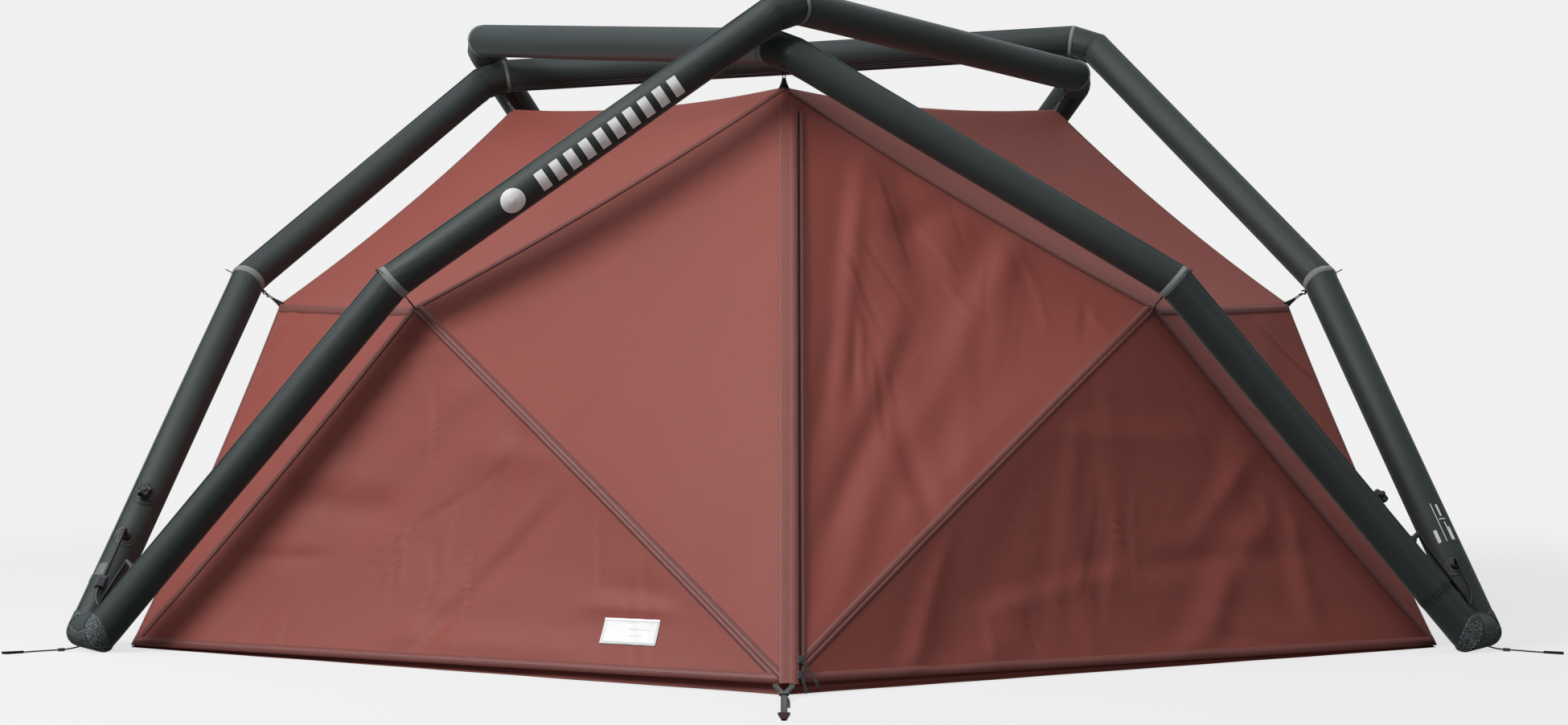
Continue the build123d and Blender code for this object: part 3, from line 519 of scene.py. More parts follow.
class Pile:
    """Vertices, faces and cloth coordinates gathered from several grids."""

    def __init__(self):
        self.verts, self.faces, self.uvs, self.count = [], [], [], 0

    def add(self, verts, faces, uvs=None):
        verts = np.asarray(verts, float).reshape(-1, 3)
        self.faces += [tuple(int(i) + self.count for i in f) for f in faces]
        self.verts.append(verts)
        self.uvs.append(np.zeros((len(verts), 2)) if uvs is None else np.asarray(uvs, float).reshape(-1, 2))
        self.count += len(verts)

    def piece(self, name, slot, **options):
        return add_piece(name, np.vstack(self.verts), self.faces, slot, uv=np.vstack(self.uvs), **options)

    def turned(self, angle):
        """The same pile turned about the Z axis."""
        other = Pile()
        other.verts = [spun(v, angle) for v in self.verts]
        other.faces, other.uvs, other.count = self.faces, self.uvs, self.count
        return other

    def join(self, other):
        self.faces += [tuple(i + self.count for i in f) for f in other.faces]
        self.verts += other.verts
        self.uvs += other.uvs
        self.count += other.count

    def thrice(self):
        """Three copies of the pile, one for each foot."""
        whole = Pile()
        for turn in FEET.values():
            whole.join(self.turned(turn))
        return whole


def ring_frames(points):
    """Directions and turning frames along a smooth line of points."""
    points = np.asarray(points, float)
    along = unit(np.gradient(points, axis=0))
    side = np.cross(along[0], (0, 0, 1) if abs(along[0][2]) < 0.9 else (1, 0, 0))
    sides = [unit(side)]
    for direction in along[1:]:
        side = sides[-1] - direction * np.dot(sides[-1], direction)
        sides.append(unit(side))
    sides = np.array(sides)
    return along, sides, np.cross(along, sides)


def round_rod(points, radius, segments=12, pile=None):
    """A round rod with domed ends along a line of points; radius may vary along it."""
    pile = pile or Pile()
    points = np.asarray(points, float)
    radii = np.broadcast_to(np.asarray(radius, float), len(points)).copy()
    along, side, up = ring_frames(points)
    ends = ((0, -1), (-1, 1))
    for (index, sign) in ends:
        tips = [(0.5, 0.87), (0.87, 0.5)]
        extra = [points[index] + sign * along[index] * radii[index] * a for a, _ in tips]
        small = [radii[index] * b for _, b in tips]
        if sign < 0:
            points = np.vstack([extra[::-1], points])
            radii = np.concatenate([small[::-1], radii])
            along, side, up = (np.vstack([x[:1], x[:1], x]) for x in (along, side, up))
        else:
            points = np.vstack([points, extra])
            radii = np.concatenate([radii, small])
            along, side, up = (np.vstack([x, x[-1:], x[-1:]]) for x in (along, side, up))
    angles = np.linspace(0, 2 * pi, segments, endpoint=False)
    ring = (side[:, None] * np.cos(angles)[None, :, None] + up[:, None] * np.sin(angles)[None, :, None])
    verts = (points[:, None] + ring * radii[:, None, None]).reshape(-1, 3)
    uvs = np.stack(np.broadcast_arrays(lengths_along(points)[:, None], angles[None] * radii.max()), axis=-1)
    pile.add(verts, capped(len(points), segments), uvs)
    return pile


def curve_points(points, count):
    """A smooth curve through a few control points, with as many steps between each two."""
    points = np.asarray(points, float)
    ends = np.vstack([2 * points[0] - points[1], points, 2 * points[-1] - points[-2]])
    t = np.linspace(0, len(points) - 1 - 1e-9, count)
    i = t.astype(int)
    f = (t - i)[:, None]
    a, b, c, d = ends[i], ends[i + 1], ends[i + 2], ends[i + 3]
    return 0.5 * (2 * b + (c - a) * f + (2 * a - 5 * b + 4 * c - d) * f ** 2 + (3 * b - a - 3 * c + d) * f ** 3)


def lathe(profile, lobes=0, segments=40):
    """Rings round Z from (radius, height, lobe depth) rows, closed at both ends."""
    angles = np.linspace(0, 2 * pi, segments, endpoint=False)
    rows = []
    for radius, height, depth in profile:
        reach = radius + depth * np.cos(lobes * angles)
        rows.append(np.stack([reach * np.cos(angles), reach * np.sin(angles), np.full(segments, height)], -1))
    return np.vstack(rows), capped(len(profile), segments)


def placed(verts, origin, x_dir, z_dir):
    """Local points in a frame given by its origin, X and Z directions."""
    z_dir = unit(z_dir)
    x_dir = unit(np.asarray(x_dir) - z_dir * np.dot(x_dir, z_dir))
    return np.asarray(origin) + np.asarray(verts) @ np.array([x_dir, np.cross(z_dir, x_dir), z_dir])


# ---------------------------------------------------------------- inflated arches

def crossing_point(azimuth, side):
    """Tube axis at a crossing; side is +1 for the tube on top and -1 for the one below."""
    out, rise = CROSSING_OFFSET * sin(CROSSING_TILT), CROSSING_OFFSET * cos(CROSSING_TILT)
    return polar(CROSSING[0] + side * out, azimuth, CROSSING[2] + side * rise)


def foot_end(azimuth, side):
    """Where a leg's axis meets the foot; side is +1 for the first leg of an arch."""
    across = np.array([sin(radians(azimuth)), -cos(radians(azimuth)), 0])
    return polar(FOOT[0], azimuth, FOOT[2]) + across * side * FOOT[1]


def arch_corners():
    """Corners of the first arch's axis, from the front left foot over the rear to the front right foot."""
    last_foot = FIRST_FOOT + 120
    first = polar(ELBOW[0], FIRST_FOOT - ELBOW[1], ELBOW[2])
    last = polar(ELBOW[0], last_foot + ELBOW[1], ELBOW[2])
    under = crossing_point(FIRST_FOOT - CROSSING[1], -1)
    over = crossing_point(last_foot + CROSSING[1], 1)
    points = [foot_end(FIRST_FOOT, 1), first]
    for before, corner, after in ((first, under, over), (under, over, last)):
        along = unit(unit(corner - before) + unit(after - corner))
        points += [corner - along * CROSSING_SLEEVE / 2, corner + along * CROSSING_SLEEVE / 2]
    return points + [last, foot_end(last_foot, -1)]


def leg_frame(side, distance):
    """Origin on a leg's axis at the front left foot, direction up the leg and direction out of a fitting."""
    start = foot_end(FIRST_FOOT, side)
    along = unit(polar(ELBOW[0], FIRST_FOOT - side * ELBOW[1], ELBOW[2]) - start)
    out = polar(1, FIRST_FOOT + side * FITTING_SWING, 0)
    return start + along * distance, along, unit(out - along * np.dot(out, along))


CORNERS = arch_corners()
STEPS = [unit(b - a) for a, b in zip(CORNERS, CORNERS[1:])]
FOOT_STEP = unit(foot_end(FIRST_FOOT, 1) - foot_end(FIRST_FOOT, -1))
BEFORE = [FOOT_STEP] + STEPS
AFTER = STEPS + [spun(FOOT_STEP, 120)]
MITRES = [unit(a + b) for a, b in zip(BEFORE, AFTER)]


def transported(vector, before, after):
    """A cross direction carried round a corner by the smallest turn."""
    axis = np.cross(before, after)
    size = np.linalg.norm(axis)
    if size < 1e-9:
        return vector
    axis /= size
    angle = np.arctan2(size, np.dot(before, after))
    c, s = cos(angle), sin(angle)
    return vector * c + np.cross(axis, vector) * s + axis * np.dot(axis, vector) * (1 - c)


def run_frames():
    """For each straight run, the zero direction and the quarter direction round the tube."""
    reference = leg_frame(1, 0)[2]
    frames = []
    for before, along in zip([STEPS[0]] + STEPS, STEPS):
        reference = transported(reference, before, along)
        frames.append((reference, np.cross(reference, along)))
    return frames


RUNS = run_frames()


def run_surface(index, angles, low, high, radius, count, pinch=True):
    """Points on one run between two cutting planes given as (corner, normal, shift) tuples."""
    start, along = CORNERS[index], STEPS[index]
    radial = radials(angles, *RUNS[index])
    ends = []
    for corner, normal, shift in (low, high):
        base = corner + normal * shift
        ends.append(((base - start) @ normal - radius * radial @ normal) / (along @ normal))
    share = 0.5 - 0.5 * np.cos(np.linspace(0, pi, count))
    if count > 40:
        near = np.array([0.004, 0.009, 0.016, 0.025, 0.036, 0.05, 0.07])
        share = np.unique(np.concatenate([np.linspace(0, 1, count), near, 1 - near]))
    distance = ends[0][None] + (ends[1] - ends[0])[None] * share[:, None]
    reach = np.full(distance.shape, radius)
    if pinch:
        gap = np.minimum(distance - ends[0], ends[1] - distance)
        around = np.broadcast_to(angles[None], gap.shape)
        weld = np.exp(-(gap / 0.006) ** 2) * 0.0011
        ripple = np.sin(around * 17 + index) * np.sin(around * 5 + 2 * index + gap * 60)
        swell = 0.0007 * np.sin(distance * 9 + 2 * around + index * 1.7) * np.clip(gap / 0.05, 0, 1)
        reach = reach - weld + 0.0007 * ripple * np.exp(-(gap / 0.035) ** 2) * np.clip(gap / 0.004, 0, 1) + swell * 0.6
    verts = start + along * distance[..., None] + radial[None] * reach[..., None]
    uv = np.stack([distance + index * 2.0, np.broadcast_to(angles[None] * radius, distance.shape)], -1)
    return verts, uv


def run_pile(index, pile, radius=TUBE):
    """One straight inflated run, from mitre to mitre."""
    angles = np.linspace(0, 2 * pi, ROUND + 1)
    low = (CORNERS[index], MITRES[index], 0.0)
    high = (CORNERS[index + 1], MITRES[index + 1], 0.0)
    count = 90 if np.linalg.norm(CORNERS[index + 1] - CORNERS[index]) > 0.2 else 24
    verts, uv = run_surface(index, angles, low, high, radius, count)
    pile.add(verts, grid_faces(verts.shape[0], ROUND + 1), uv)


def band_pile(corner, half_width, radius, pile):
    """A woven band wrapped round a mitre, with turned-in edges."""
    angles = np.linspace(0, 2 * pi, ROUND + 1)
    for index, sign in ((corner - 1, -1), (corner, 1)):
        rows, coords = [], []
        profile = ((half_width, -0.0012), (half_width, 0.0002), (half_width * 0.85, 0.0011), (0.0, 0.0016))
        for shift, lift in profile:
            plane = (CORNERS[corner], MITRES[corner], sign * shift)
            verts, uv = run_surface(index, angles, plane, plane, radius + lift, 2, pinch=False)
            rows.append(verts[0])
            coords.append(uv[0])
        faces = grid_faces(len(rows), ROUND + 1)
        pile.add(np.array(rows), faces if sign < 0 else faces[:, ::-1], np.array(coords))


def line_on_run(index, angle, radius, pile, width=0.0016, inset=0.0):
    """A raised cord of welded seam along one run."""
    low = (CORNERS[index], MITRES[index], inset)
    high = (CORNERS[index + 1], MITRES[index + 1], -inset)
    verts, _ = run_surface(index, np.array([angle]), low, high, radius, 30, pinch=False)
    round_rod(verts[:, 0], width, 8, pile)


PRINT_LIFT = 0.0012


def decal(index, start, end, low_angle, high_angle, pile):
    """A thin printed patch on a run; start and end are distances along the run, angles are in degrees."""
    s = np.linspace(start, end, 6)
    a = np.radians(np.linspace(low_angle, high_angle, 8))
    grid_s, grid_a = np.meshgrid(s, a, indexing="ij")
    radial = radials(grid_a, *RUNS[index])
    verts = CORNERS[index] + STEPS[index] * grid_s[..., None] + radial * (TUBE + PRINT_LIFT)
    pile.add(verts, grid_faces(6, 8), np.stack([grid_s, grid_a * TUBE], -1))


# Angles of the seam cords round each run, set from where a rim highlight shows along the front left leg; their lighter
# cloth paints that highlight
PIPING_ANGLES = (radians(-92), radians(50))
PIPING_BESIDE = radians(10)
LEG_RUNS, SIDE_RUNS, ROOF_RUNS, SLEEVE_RUNS = (0, 6), (1, 5), (3,), (2, 4)


def make_arches():
    """Inflated sleeves, crossing elbows, elbow bands and seam piping of the three arches; the piping's lighter cloth is
    partly painted rim highlight.
    """
    parts = {"legs": LEG_RUNS, "sides": SIDE_RUNS, "roof_run": ROOF_RUNS}
    for name, turn in ARCHES.items():
        for part, runs in parts.items():
            pile = Pile()
            for index in runs:
                run_pile(index, pile)
            pile.turned(turn).piece(f"{name}_{part}_sleeve", "sleeve_fabric", replaces=[f"{name}_{part}"])
        piping = Pile()
        for index in range(len(STEPS)):
            for angle in PIPING_ANGLES:
                line_on_run(index, angle, TUBE + 0.0006, piping, inset=0.001)
                line_on_run(index, angle + PIPING_BESIDE, TUBE - 0.0004, piping, 0.0010, 0.001)
        piping.turned(turn).piece(f"{name}_piping", "sleeve_fabric", material=PIPING_RIM_HIGHLIGHT)
    crossings, rings, bands = Pile(), Pile(), Pile()
    for index in SLEEVE_RUNS:
        run_pile(index, crossings)
    for corners, half_width, pile in (((3, 4), 0.0042, rings), ((1, 6), 0.008, bands)):
        for corner in corners:
            band_pile(corner, half_width, TUBE, pile)
    crossings.thrice().piece("crossing_elbows", "crossing_fabric", replaces=["crossing_sleeves"])
    rings.thrice().piece("crossing_rings", "band_webbing")
    bands.thrice().piece("elbow_band_weave", "band_webbing", replaces=["elbow_bands"])


BARS, BAR_START, BAR_PITCH, BAR_LENGTH = 10, 0.238, 0.0366, 0.021


def make_prints():
    """Plain printed marks: a disc and a row of bars, leg marks, a pale panel and dark rub strips."""
    bars = Pile()
    for start in BAR_START + BAR_PITCH * np.arange(BARS):
        decal(5, start, start + BAR_LENGTH, 103, 169, bars)
    disc_mark(5, 0.652, 134, 0.026, bars)
    bars.turned(240).piece("plain_bar_row", "label_fabric", material=PRINT)
    marks = Pile()
    decal(6, 0.644, 0.742, 5, 7.5, marks)
    for low, high, first, last in ((0.648, 0.678, 20, 27), (0.684, 0.687, 12, 34), (0.693, 0.740, 24, 28),
                                   (0.706, 0.740, 28, 37), (0.708, 0.740, -22, -11)):
        decal(6, low, high, first, last, marks)
    marks.piece("plain_leg_marks", "label_fabric", material=PRINT)
    pale = Pile()
    decal(0, 0.110, 0.142, 14, 46, pale)
    rub = Pile()
    for row in range(19):
        angle = 62 + row * 14
        shift = 0.0035 * (row % 2)
        decal(0, 0.098 + shift, 0.116 + shift, angle, angle + 4.5, rub)
    for foot, turn in FEET.items():
        pale.turned(turn).piece(f"pale_panel_{foot}", "band_webbing", material=PRINT_GREY)
        rub.turned(turn).piece(f"rub_strips_{foot}", "foot_grip", material=PRINT_BLACK)


def disc_mark(index, distance, angle, radius, pile):
    """A thin round printed disc on a run."""
    rings, count = (0.0, 0.4, 0.75, 1.0), 32
    turn = np.linspace(0, 2 * pi, count, endpoint=False)
    grid_r, grid_t = np.meshgrid(np.array(rings) * radius + 1e-5, turn, indexing="ij")
    round_angle = radians(angle) + grid_r * np.sin(grid_t) / TUBE
    radial = radials(round_angle, *RUNS[index])
    place = CORNERS[index] + STEPS[index] * (distance + grid_r * np.cos(grid_t))[..., None]
    pile.add(place + radial * (TUBE + PRINT_LIFT), grid_faces(len(rings), count, wrap=True),
             np.stack([grid_r * np.cos(grid_t), grid_r * np.sin(grid_t)], -1))


# ---------------------------------------------------------------- feet

def foot_surface(angles, share, lift):
    """Points on the short foot tube; angles from straight out, share runs from the last leg to the first."""
    start, end = foot_end(FIRST_FOOT, -1), foot_end(FIRST_FOOT, 1)
    radial = radials(angles, polar(1, FIRST_FOOT, 0), np.array([0, 0, 1.0]))
    reach = (TUBE + lift)[..., None]
    planes = ((start, unit(BEFORE_FOOT + FOOT_STEP)), (end, MITRES[0]))
    ends = [((p - start) @ n - (radial * reach) @ n) / (FOOT_STEP @ n) for p, n in planes]
    distance = ends[0] + (ends[1] - ends[0]) * share
    return start + FOOT_STEP * distance[..., None] + radial * reach, distance


BEFORE_FOOT = spun(STEPS[-1], -120)
SCALE_PITCH = 0.0046
GRIP_REACH = 0.044


def scale_height(u, v):
    """Height of low moulded hexagonal scales."""
    rows = SCALE_PITCH * 0.866
    best = np.zeros_like(u)
    row = np.round(v / rows)
    for step in (-1, 0, 1):
        r = row + step
        shift = np.where(r % 2 == 0, 0.0, SCALE_PITCH / 2)
        column = np.round((u - shift) / SCALE_PITCH)
        gap = np.hypot(u - shift - column * SCALE_PITCH, v - r * rows) / (SCALE_PITCH * 0.47)
        best = np.maximum(best, np.clip(1 - gap ** 4, 0, 1))
    return best


def leg_grip(index, corner, sign, turn, pile):
    """Scaled rubber that wraps the outer underside of a leg's lower end and narrows towards its top."""
    first, second = RUNS[index]
    along, normal = STEPS[index], MITRES[corner]
    down = unit(spun(polar(1, FIRST_FOOT, 0), -turn) * 0.75 - np.array([0, 0, 0.66]))
    middle = np.arctan2(second @ down, first @ down)
    angles = middle + np.linspace(-1.45, 1.45, 90)
    radial = radials(angles, first, second)
    width = GRIP_REACH * np.clip(np.cos((angles - middle) * pi / 2.9), 0, 1) ** 0.8
    base = (CORNERS[corner] - CORNERS[index]) @ normal
    start = (base - TUBE * radial @ normal) / (along @ normal)
    share = np.linspace(0, 1, 50)[:, None]
    distance = start[None] + sign * width[None] * share
    edge = np.clip((1 - share) * width[None] / 0.003, 0, 1) * np.clip(width[None] / 0.006, 0, 1)
    lift = 0.0009 * edge + 0.0011 * scale_height(distance - start[None], angles[None] * TUBE) * edge - 0.0002
    verts = CORNERS[index] + along * distance[..., None] + radial[None] * (TUBE + lift)[..., None]
    faces = grid_faces(50, 90)
    pile.add(spun(verts.reshape(-1, 3), turn), faces if sign > 0 else faces[:, ::-1],
             np.stack(np.broadcast_arrays(distance, angles[None] * TUBE), -1))


def make_feet():
    """Foot boots, their smooth upper facets and the scaled grip patches."""
    around = np.linspace(-pi, pi, ROUND + 1)
    share = np.linspace(0, 1, 22)
    grid_s, grid_a = np.meshgrid(share, around, indexing="ij")
    verts, distance = foot_surface(grid_a, grid_s, np.zeros_like(grid_a))
    boot = Pile()
    boot.add(verts, grid_faces(22, ROUND + 1), np.stack([distance, grid_a * TUBE], -1))
    facet = Pile()
    grid_s, grid_t = np.meshgrid(np.linspace(0.1, 0.9, 20), np.linspace(0, 1, 20), indexing="ij")
    low = np.radians(4 + 16 * (2 * np.abs(grid_s - 0.5)) ** 1.5)
    grid_a = low + (np.radians(78) - low) * grid_t
    verts, distance = foot_surface(grid_a, grid_s, np.full_like(grid_a, 0.0009))
    facet.add(verts, grid_faces(20, 20), np.stack([distance, grid_a * TUBE], -1))
    grip = Pile()
    grid_s, grid_t = np.meshgrid(np.linspace(0, 1, 90), np.linspace(0, 1, 120), indexing="ij")
    top = np.radians(2 + 18 * (2 * np.abs(grid_s - 0.5)) ** 1.5)
    grid_a = np.radians(-128) + (top - np.radians(-128)) * grid_t
    _, distance = foot_surface(grid_a, grid_s, np.full_like(grid_a, 0.001))
    edge = np.minimum(np.minimum(grid_t, 1 - grid_t) * 14, 1)
    lift = 0.0009 * edge + 0.0011 * scale_height(distance, grid_a * TUBE) * np.clip(edge * 1.5, 0, 1)
    verts, distance = foot_surface(grid_a, grid_s, lift)
    grip.add(verts, grid_faces(90, 120), np.stack([distance, grid_a * TUBE], -1))
    leg_grip(0, 0, 1, 0, grip)
    leg_grip(6, 7, -1, -120, grip)
    boot.thrice().piece("foot_boot_sleeves", "sleeve_fabric", replaces=["foot_boots"])
    grip.thrice().piece("foot_grip_scales", "foot_grip", replaces=["grip_patches"])
    facet.thrice().piece("foot_upper_facets", "sleeve_fabric", material=PATCH)


# ---------------------------------------------------------------- air fittings

def saddle_disc(side, distance, profile, pile):
    """A round fitting wrapped on a leg: profile rows are (radius, lift above the tube)."""
    origin, along, out = leg_frame(side, distance)
    across = np.cross(out, along)
    angles = np.linspace(0, 2 * pi, 49)
    rows, coords = [], []
    for radius, lift in profile:
        x, y = radius * np.cos(angles), radius * np.sin(angles)
        bend = y / TUBE
        point = (origin + along * x[:, None] + across * (np.sin(bend) * (TUBE + lift))[:, None]
                 + out * (np.cos(bend) * (TUBE + lift))[:, None])
        rows.append(point)
        coords.append(np.stack([x, y], -1))
    pile.add(np.array(rows), grid_faces(len(rows), 49)[:, ::-1], np.array(coords))


PATCH_PROFILE = [(0.0280, -0.0004), (0.0278, 0.0011), (0.0262, 0.0014), (0.0254, 0.0009), (0.0205, 0.0009),
                 (0.0198, 0.0015), (0.0185, 0.0015), (0.0178, 0.0010), (0.0130, 0.0012), (0.0118, 0.0030),
                 (0.0112, 0.0058), (0.0050, 0.0060), (0.0002, 0.0060)]
BOSS_PROFILE = [(0.0250, -0.0004), (0.0248, 0.0010), (0.0234, 0.0013), (0.0226, 0.0008), (0.0185, 0.0008),
                (0.0178, 0.0013), (0.0166, 0.0013), (0.0160, 0.0009), (0.0118, 0.0010), (0.0104, 0.0026),
                (0.0096, 0.0062), (0.0086, 0.0092), (0.0062, 0.0104), (0.0002, 0.0106)]
CAP_PROFILE = [(0.0100, 0.0, 0.0), (0.0128, 0.0004, 0.0016), (0.0140, 0.0018, 0.0026), (0.0143, 0.0060, 0.0030),
               (0.0141, 0.0108, 0.0030), (0.0132, 0.0134, 0.0026), (0.0114, 0.0148, 0.0018),
               (0.0092, 0.0150, 0.0010), (0.0082, 0.0140, 0.0004), (0.0074, 0.0139, 0.0), (0.0070, 0.0150, 0.0),
               (0.0066, 0.0166, 0.0), (0.0058, 0.0170, 0.0), (0.0030, 0.0171, 0.0), (0.0006, 0.0171, 0.0)]
BOSSES = ((1, 0.215), (-1, 0.140))
VALVE_DISTANCE = 0.326
CAP_BASE = 0.0433
CLAMP_DISTANCE = 0.088
HOSE_TURN = (1.628, 0.090)
HOSE_ELBOW_REACH = 0.034
HOSE_LOW_POINT = 0.058


def hose_route():
    """Control points of the balance hose, from one boss round the foot to the other."""

    def over(side, distance, lift):
        origin, _, out = leg_frame(side, distance)
        return origin + out * lift

    first, last = BOSSES[0][1], BOSSES[1][1]
    return [over(1, first, 0.047), over(1, first, 0.064), over(1, first - HOSE_ELBOW_REACH, 0.060),
            over(1, HOSE_LOW_POINT, 0.053), polar(HOSE_TURN[0], FIRST_FOOT, HOSE_TURN[1]),
            over(-1, HOSE_LOW_POINT, 0.053), over(-1, last - HOSE_ELBOW_REACH, 0.060),
            over(-1, last, 0.064), over(-1, last, 0.047)]


def make_air_fittings():
    """Valve bases and caps, hose bosses and balance hoses."""
    base, boss, hose, cap = Pile(), Pile(), Pile(), Pile()
    saddle_disc(1, VALVE_DISTANCE, PATCH_PROFILE, base)
    for side, distance in BOSSES:
        saddle_disc(side, distance, BOSS_PROFILE, boss)
    route = hose_route()
    spread = np.vstack([route[0], route[1], route[1] * 0.6 + route[2] * 0.4, route[2], (route[2] + route[3]) / 2,
                        route[3], route[4], route[5], route[6], route[6] * 0.4 + route[7] * 0.6, route[7], route[8]])
    round_rod(curve_points(spread, 110), 0.004, 16, hose)
    for start, end in ((route[0], route[1]), (route[8], route[7])):
        round_rod(np.linspace(start - (end - start) * 0.1, end, 6), np.linspace(0.0062, 0.0052, 6), 18, boss)
    verts, faces = lathe(CAP_PROFILE, 5, 60)
    origin, along, out = leg_frame(1, VALVE_DISTANCE)
    cap.add(placed(verts, origin + out * CAP_BASE, along, out), faces)
    for foot, turn in FEET.items():
        cap.turned(turn).piece(f"valve_cap_{foot}_knob", "valve_plastic", body=f"valve_cap_{foot}",
                               replaces=[f"valve_cap_{foot}"])
    base.thrice().piece("valve_base_discs", "valve_plastic", material=PATCH, replaces=["valve_bases"])
    boss.thrice().piece("hose_boss_domes", "valve_plastic", replaces=["hose_bosses"])
    hose.thrice().piece("balance_hose_tubes", "hose_rubber", replaces=["balance_hoses"])


# ---------------------------------------------------------------- sheets

class Panel:
    """One cut panel between three or four corners, sagging between them, with folds pressed into it."""

    def __init__(self, corners, sags, hollow):
        self.corners = np.array(corners, float)
        self.sags = np.array(sags, float)
        self.hollow = hollow
        a, b, c = self.corners[:3]
        normal = unit(np.cross(b - a, c - a))
        centre = self.corners.mean(axis=0) - np.array([0, 0, 0.3])
        self.normal = normal if normal @ centre > 0 else -normal
        side = np.cross((0, 0, 1), self.normal)
        self.u_dir = unit(side) if np.linalg.norm(side) > 1e-6 else np.array([1.0, 0, 0])
        self.v_dir = np.cross(self.normal, self.u_dir)
        self.folds = []

    def weights(self, s, t):
        """Share of each corner at the panel's own coordinates."""
        if len(self.corners) == 3:
            return np.stack([1 - s - t, s, t], -1)
        return np.stack([(1 - s) * (1 - t), s * (1 - t), s * t, (1 - s) * t], -1)

    def surface(self, s, t):
        """Positions of the sagging cloth."""
        w = self.weights(s, t)
        point = w @ self.corners
        if len(self.corners) == 3:
            a, b, c = w[..., 0], w[..., 1], w[..., 2]
            bends = np.stack([4 * a * b, 4 * b * c, 4 * c * a], -1)
            dip, edge = 27 * a * b * c, 3.2 * np.min(w, axis=-1)
        else:
            bends = np.stack([4 * s * (1 - s) * (1 - t), 4 * t * (1 - t) * s, 4 * s * (1 - s) * t,
                              4 * t * (1 - t) * (1 - s)], -1)
            dip = 16 * s * (1 - s) * t * (1 - t)
            edge = 3.2 * np.minimum(np.minimum(s, 1 - s), np.minimum(t, 1 - t))
        flat = point
        point = point + bends @ self.sags - self.normal * (self.hollow * dip)[..., None]
        if self.folds:
            point = point + self.normal * (self.fold_height(flat) * np.clip(edge * 5, 0, 1))[..., None]
        return point

    def flat_uv(self, point):
        """Cloth coordinates of a position."""
        return np.stack([(point - self.corners[0]) @ self.u_dir, (point - self.corners[0]) @ self.v_dir], -1)

    def fold_height(self, point):
        """Height of the pressed folds at flat positions."""
        uv = self.flat_uv(point)
        height = np.zeros(uv.shape[:-1])
        for start, end, width, depth, bend in self.folds:
            start, end = np.array(start), np.array(end)
            length = np.linalg.norm(end - start)
            along = (end - start) / length
            side = np.array([-along[1], along[0]])
            s = (uv - start) @ along / length
            wave = bend * length * np.sin(s * 5.0 + start[0] * 40)
            d = ((uv - start) @ side - wave) / width
            taper = np.clip(s * 4, 0, 1) * np.clip((1 - s) * 4, 0, 1)
            height += depth * taper * (np.exp(-d ** 2) - 0.45 * np.exp(-((d - 1.6) / 1.2) ** 2))
        return height

    def scatter(self, seed, count, heading, spread, length, width, depth):
        """Add seeded random folds; heading and spread are in degrees in the panel."""
        rng = np.random.default_rng(seed)
        flat = self.flat_uv(self.corners)
        for _ in range(count):
            w = rng.dirichlet(np.full(len(flat), 1.6))
            middle = w @ flat
            angle = radians(heading + rng.normal(0, spread))
            size = length * rng.uniform(0.4, 1.3)
            half = np.array([cos(angle), sin(angle)]) * size / 2
            self.folds.append((middle - half, middle + half, width * rng.uniform(0.6, 1.6),
                               depth * rng.uniform(-1, 1), rng.uniform(-0.03, 0.03)))


def panel_grid(panel, count):
    """Positions, faces and cloth coordinates of a whole panel."""
    if len(panel.corners) == 4:
        t, s = np.meshgrid(np.linspace(0, 1, count + 1), np.linspace(0, 1, count + 1), indexing="ij")
        point = panel.surface(s, t)
        flat = panel.weights(s, t) @ panel.corners
        return point.reshape(-1, 3), grid_faces(count + 1, count + 1), panel.flat_uv(flat).reshape(-1, 2)
    pairs = np.array([(i, j) for j in range(count + 1) for i in range(count + 1 - j)])
    starts = np.concatenate([[0], np.cumsum([count + 1 - j for j in range(count + 1)])])
    s, t = pairs[:, 0] / count, pairs[:, 1] / count
    faces = []
    for j in range(count):
        row, above = starts[j], starts[j + 1]
        for i in range(count - j):
            faces.append((row + i, row + i + 1, above + i))
            if i < count - j - 1:
                faces.append((row + i + 1, above + i + 1, above + i))
    return panel.surface(s, t), faces, panel.flat_uv(panel.weights(s, t) @ panel.corners)


def merged_sheet(name, panels, count, slot, nodes, **options):
    """One continuous sheet from panels that share their edges."""
    verts, faces, uvs, start = [], [], [], 0
    for panel in panels:
        p, f, uv = panel_grid(panel, count)
        order = np.cross(p[f[0][1]] - p[f[0][0]], p[f[0][2]] - p[f[0][0]]) @ panel.normal > 0
        for face in f:
            face = tuple(int(i) for i in (face if order else face[::-1]))
            faces.append(tuple(i + start for i in face))
            uvs.append(uv[list(face)])
        verts.append(p)
        start += len(p)
    verts = np.vstack(verts)
    _, first, same = np.unique(np.round(verts / 2e-5).astype(int), axis=0, return_index=True, return_inverse=True)
    same = same.ravel()
    faces = [tuple(same[i] for i in face) for face in faces]
    return add_piece(name, verts[first], faces, slot, uv=np.vstack(uvs), replaces=nodes, **options)


def lobe_corners(azimuth, size):
    """Top, ground point, and the elbow and foot on each side of one lobe."""
    beside = {-1: azimuth - 60, 1: azimuth + 60}
    elbows = {s: polar(size["elbow"][0], a - s * FLY_ELBOW_ANGLE, size["elbow"][1]) for s, a in beside.items()}
    feet = {s: polar(size["foot"][0], a, size["foot"][1]) for s, a in beside.items()}
    top = polar(size["top"][0], azimuth, size["top"][1])
    return top, polar(size["lobe"][0], azimuth, size["lobe"][1]), elbows, feet


def inward(a, b, share):
    """Sag of an edge: straight towards the middle of the tent, as a share of its length."""
    middle = (a + b) / 2
    pull = unit(np.array([0, 0, 0.35]) - middle)
    return pull * np.linalg.norm(b - a) * share


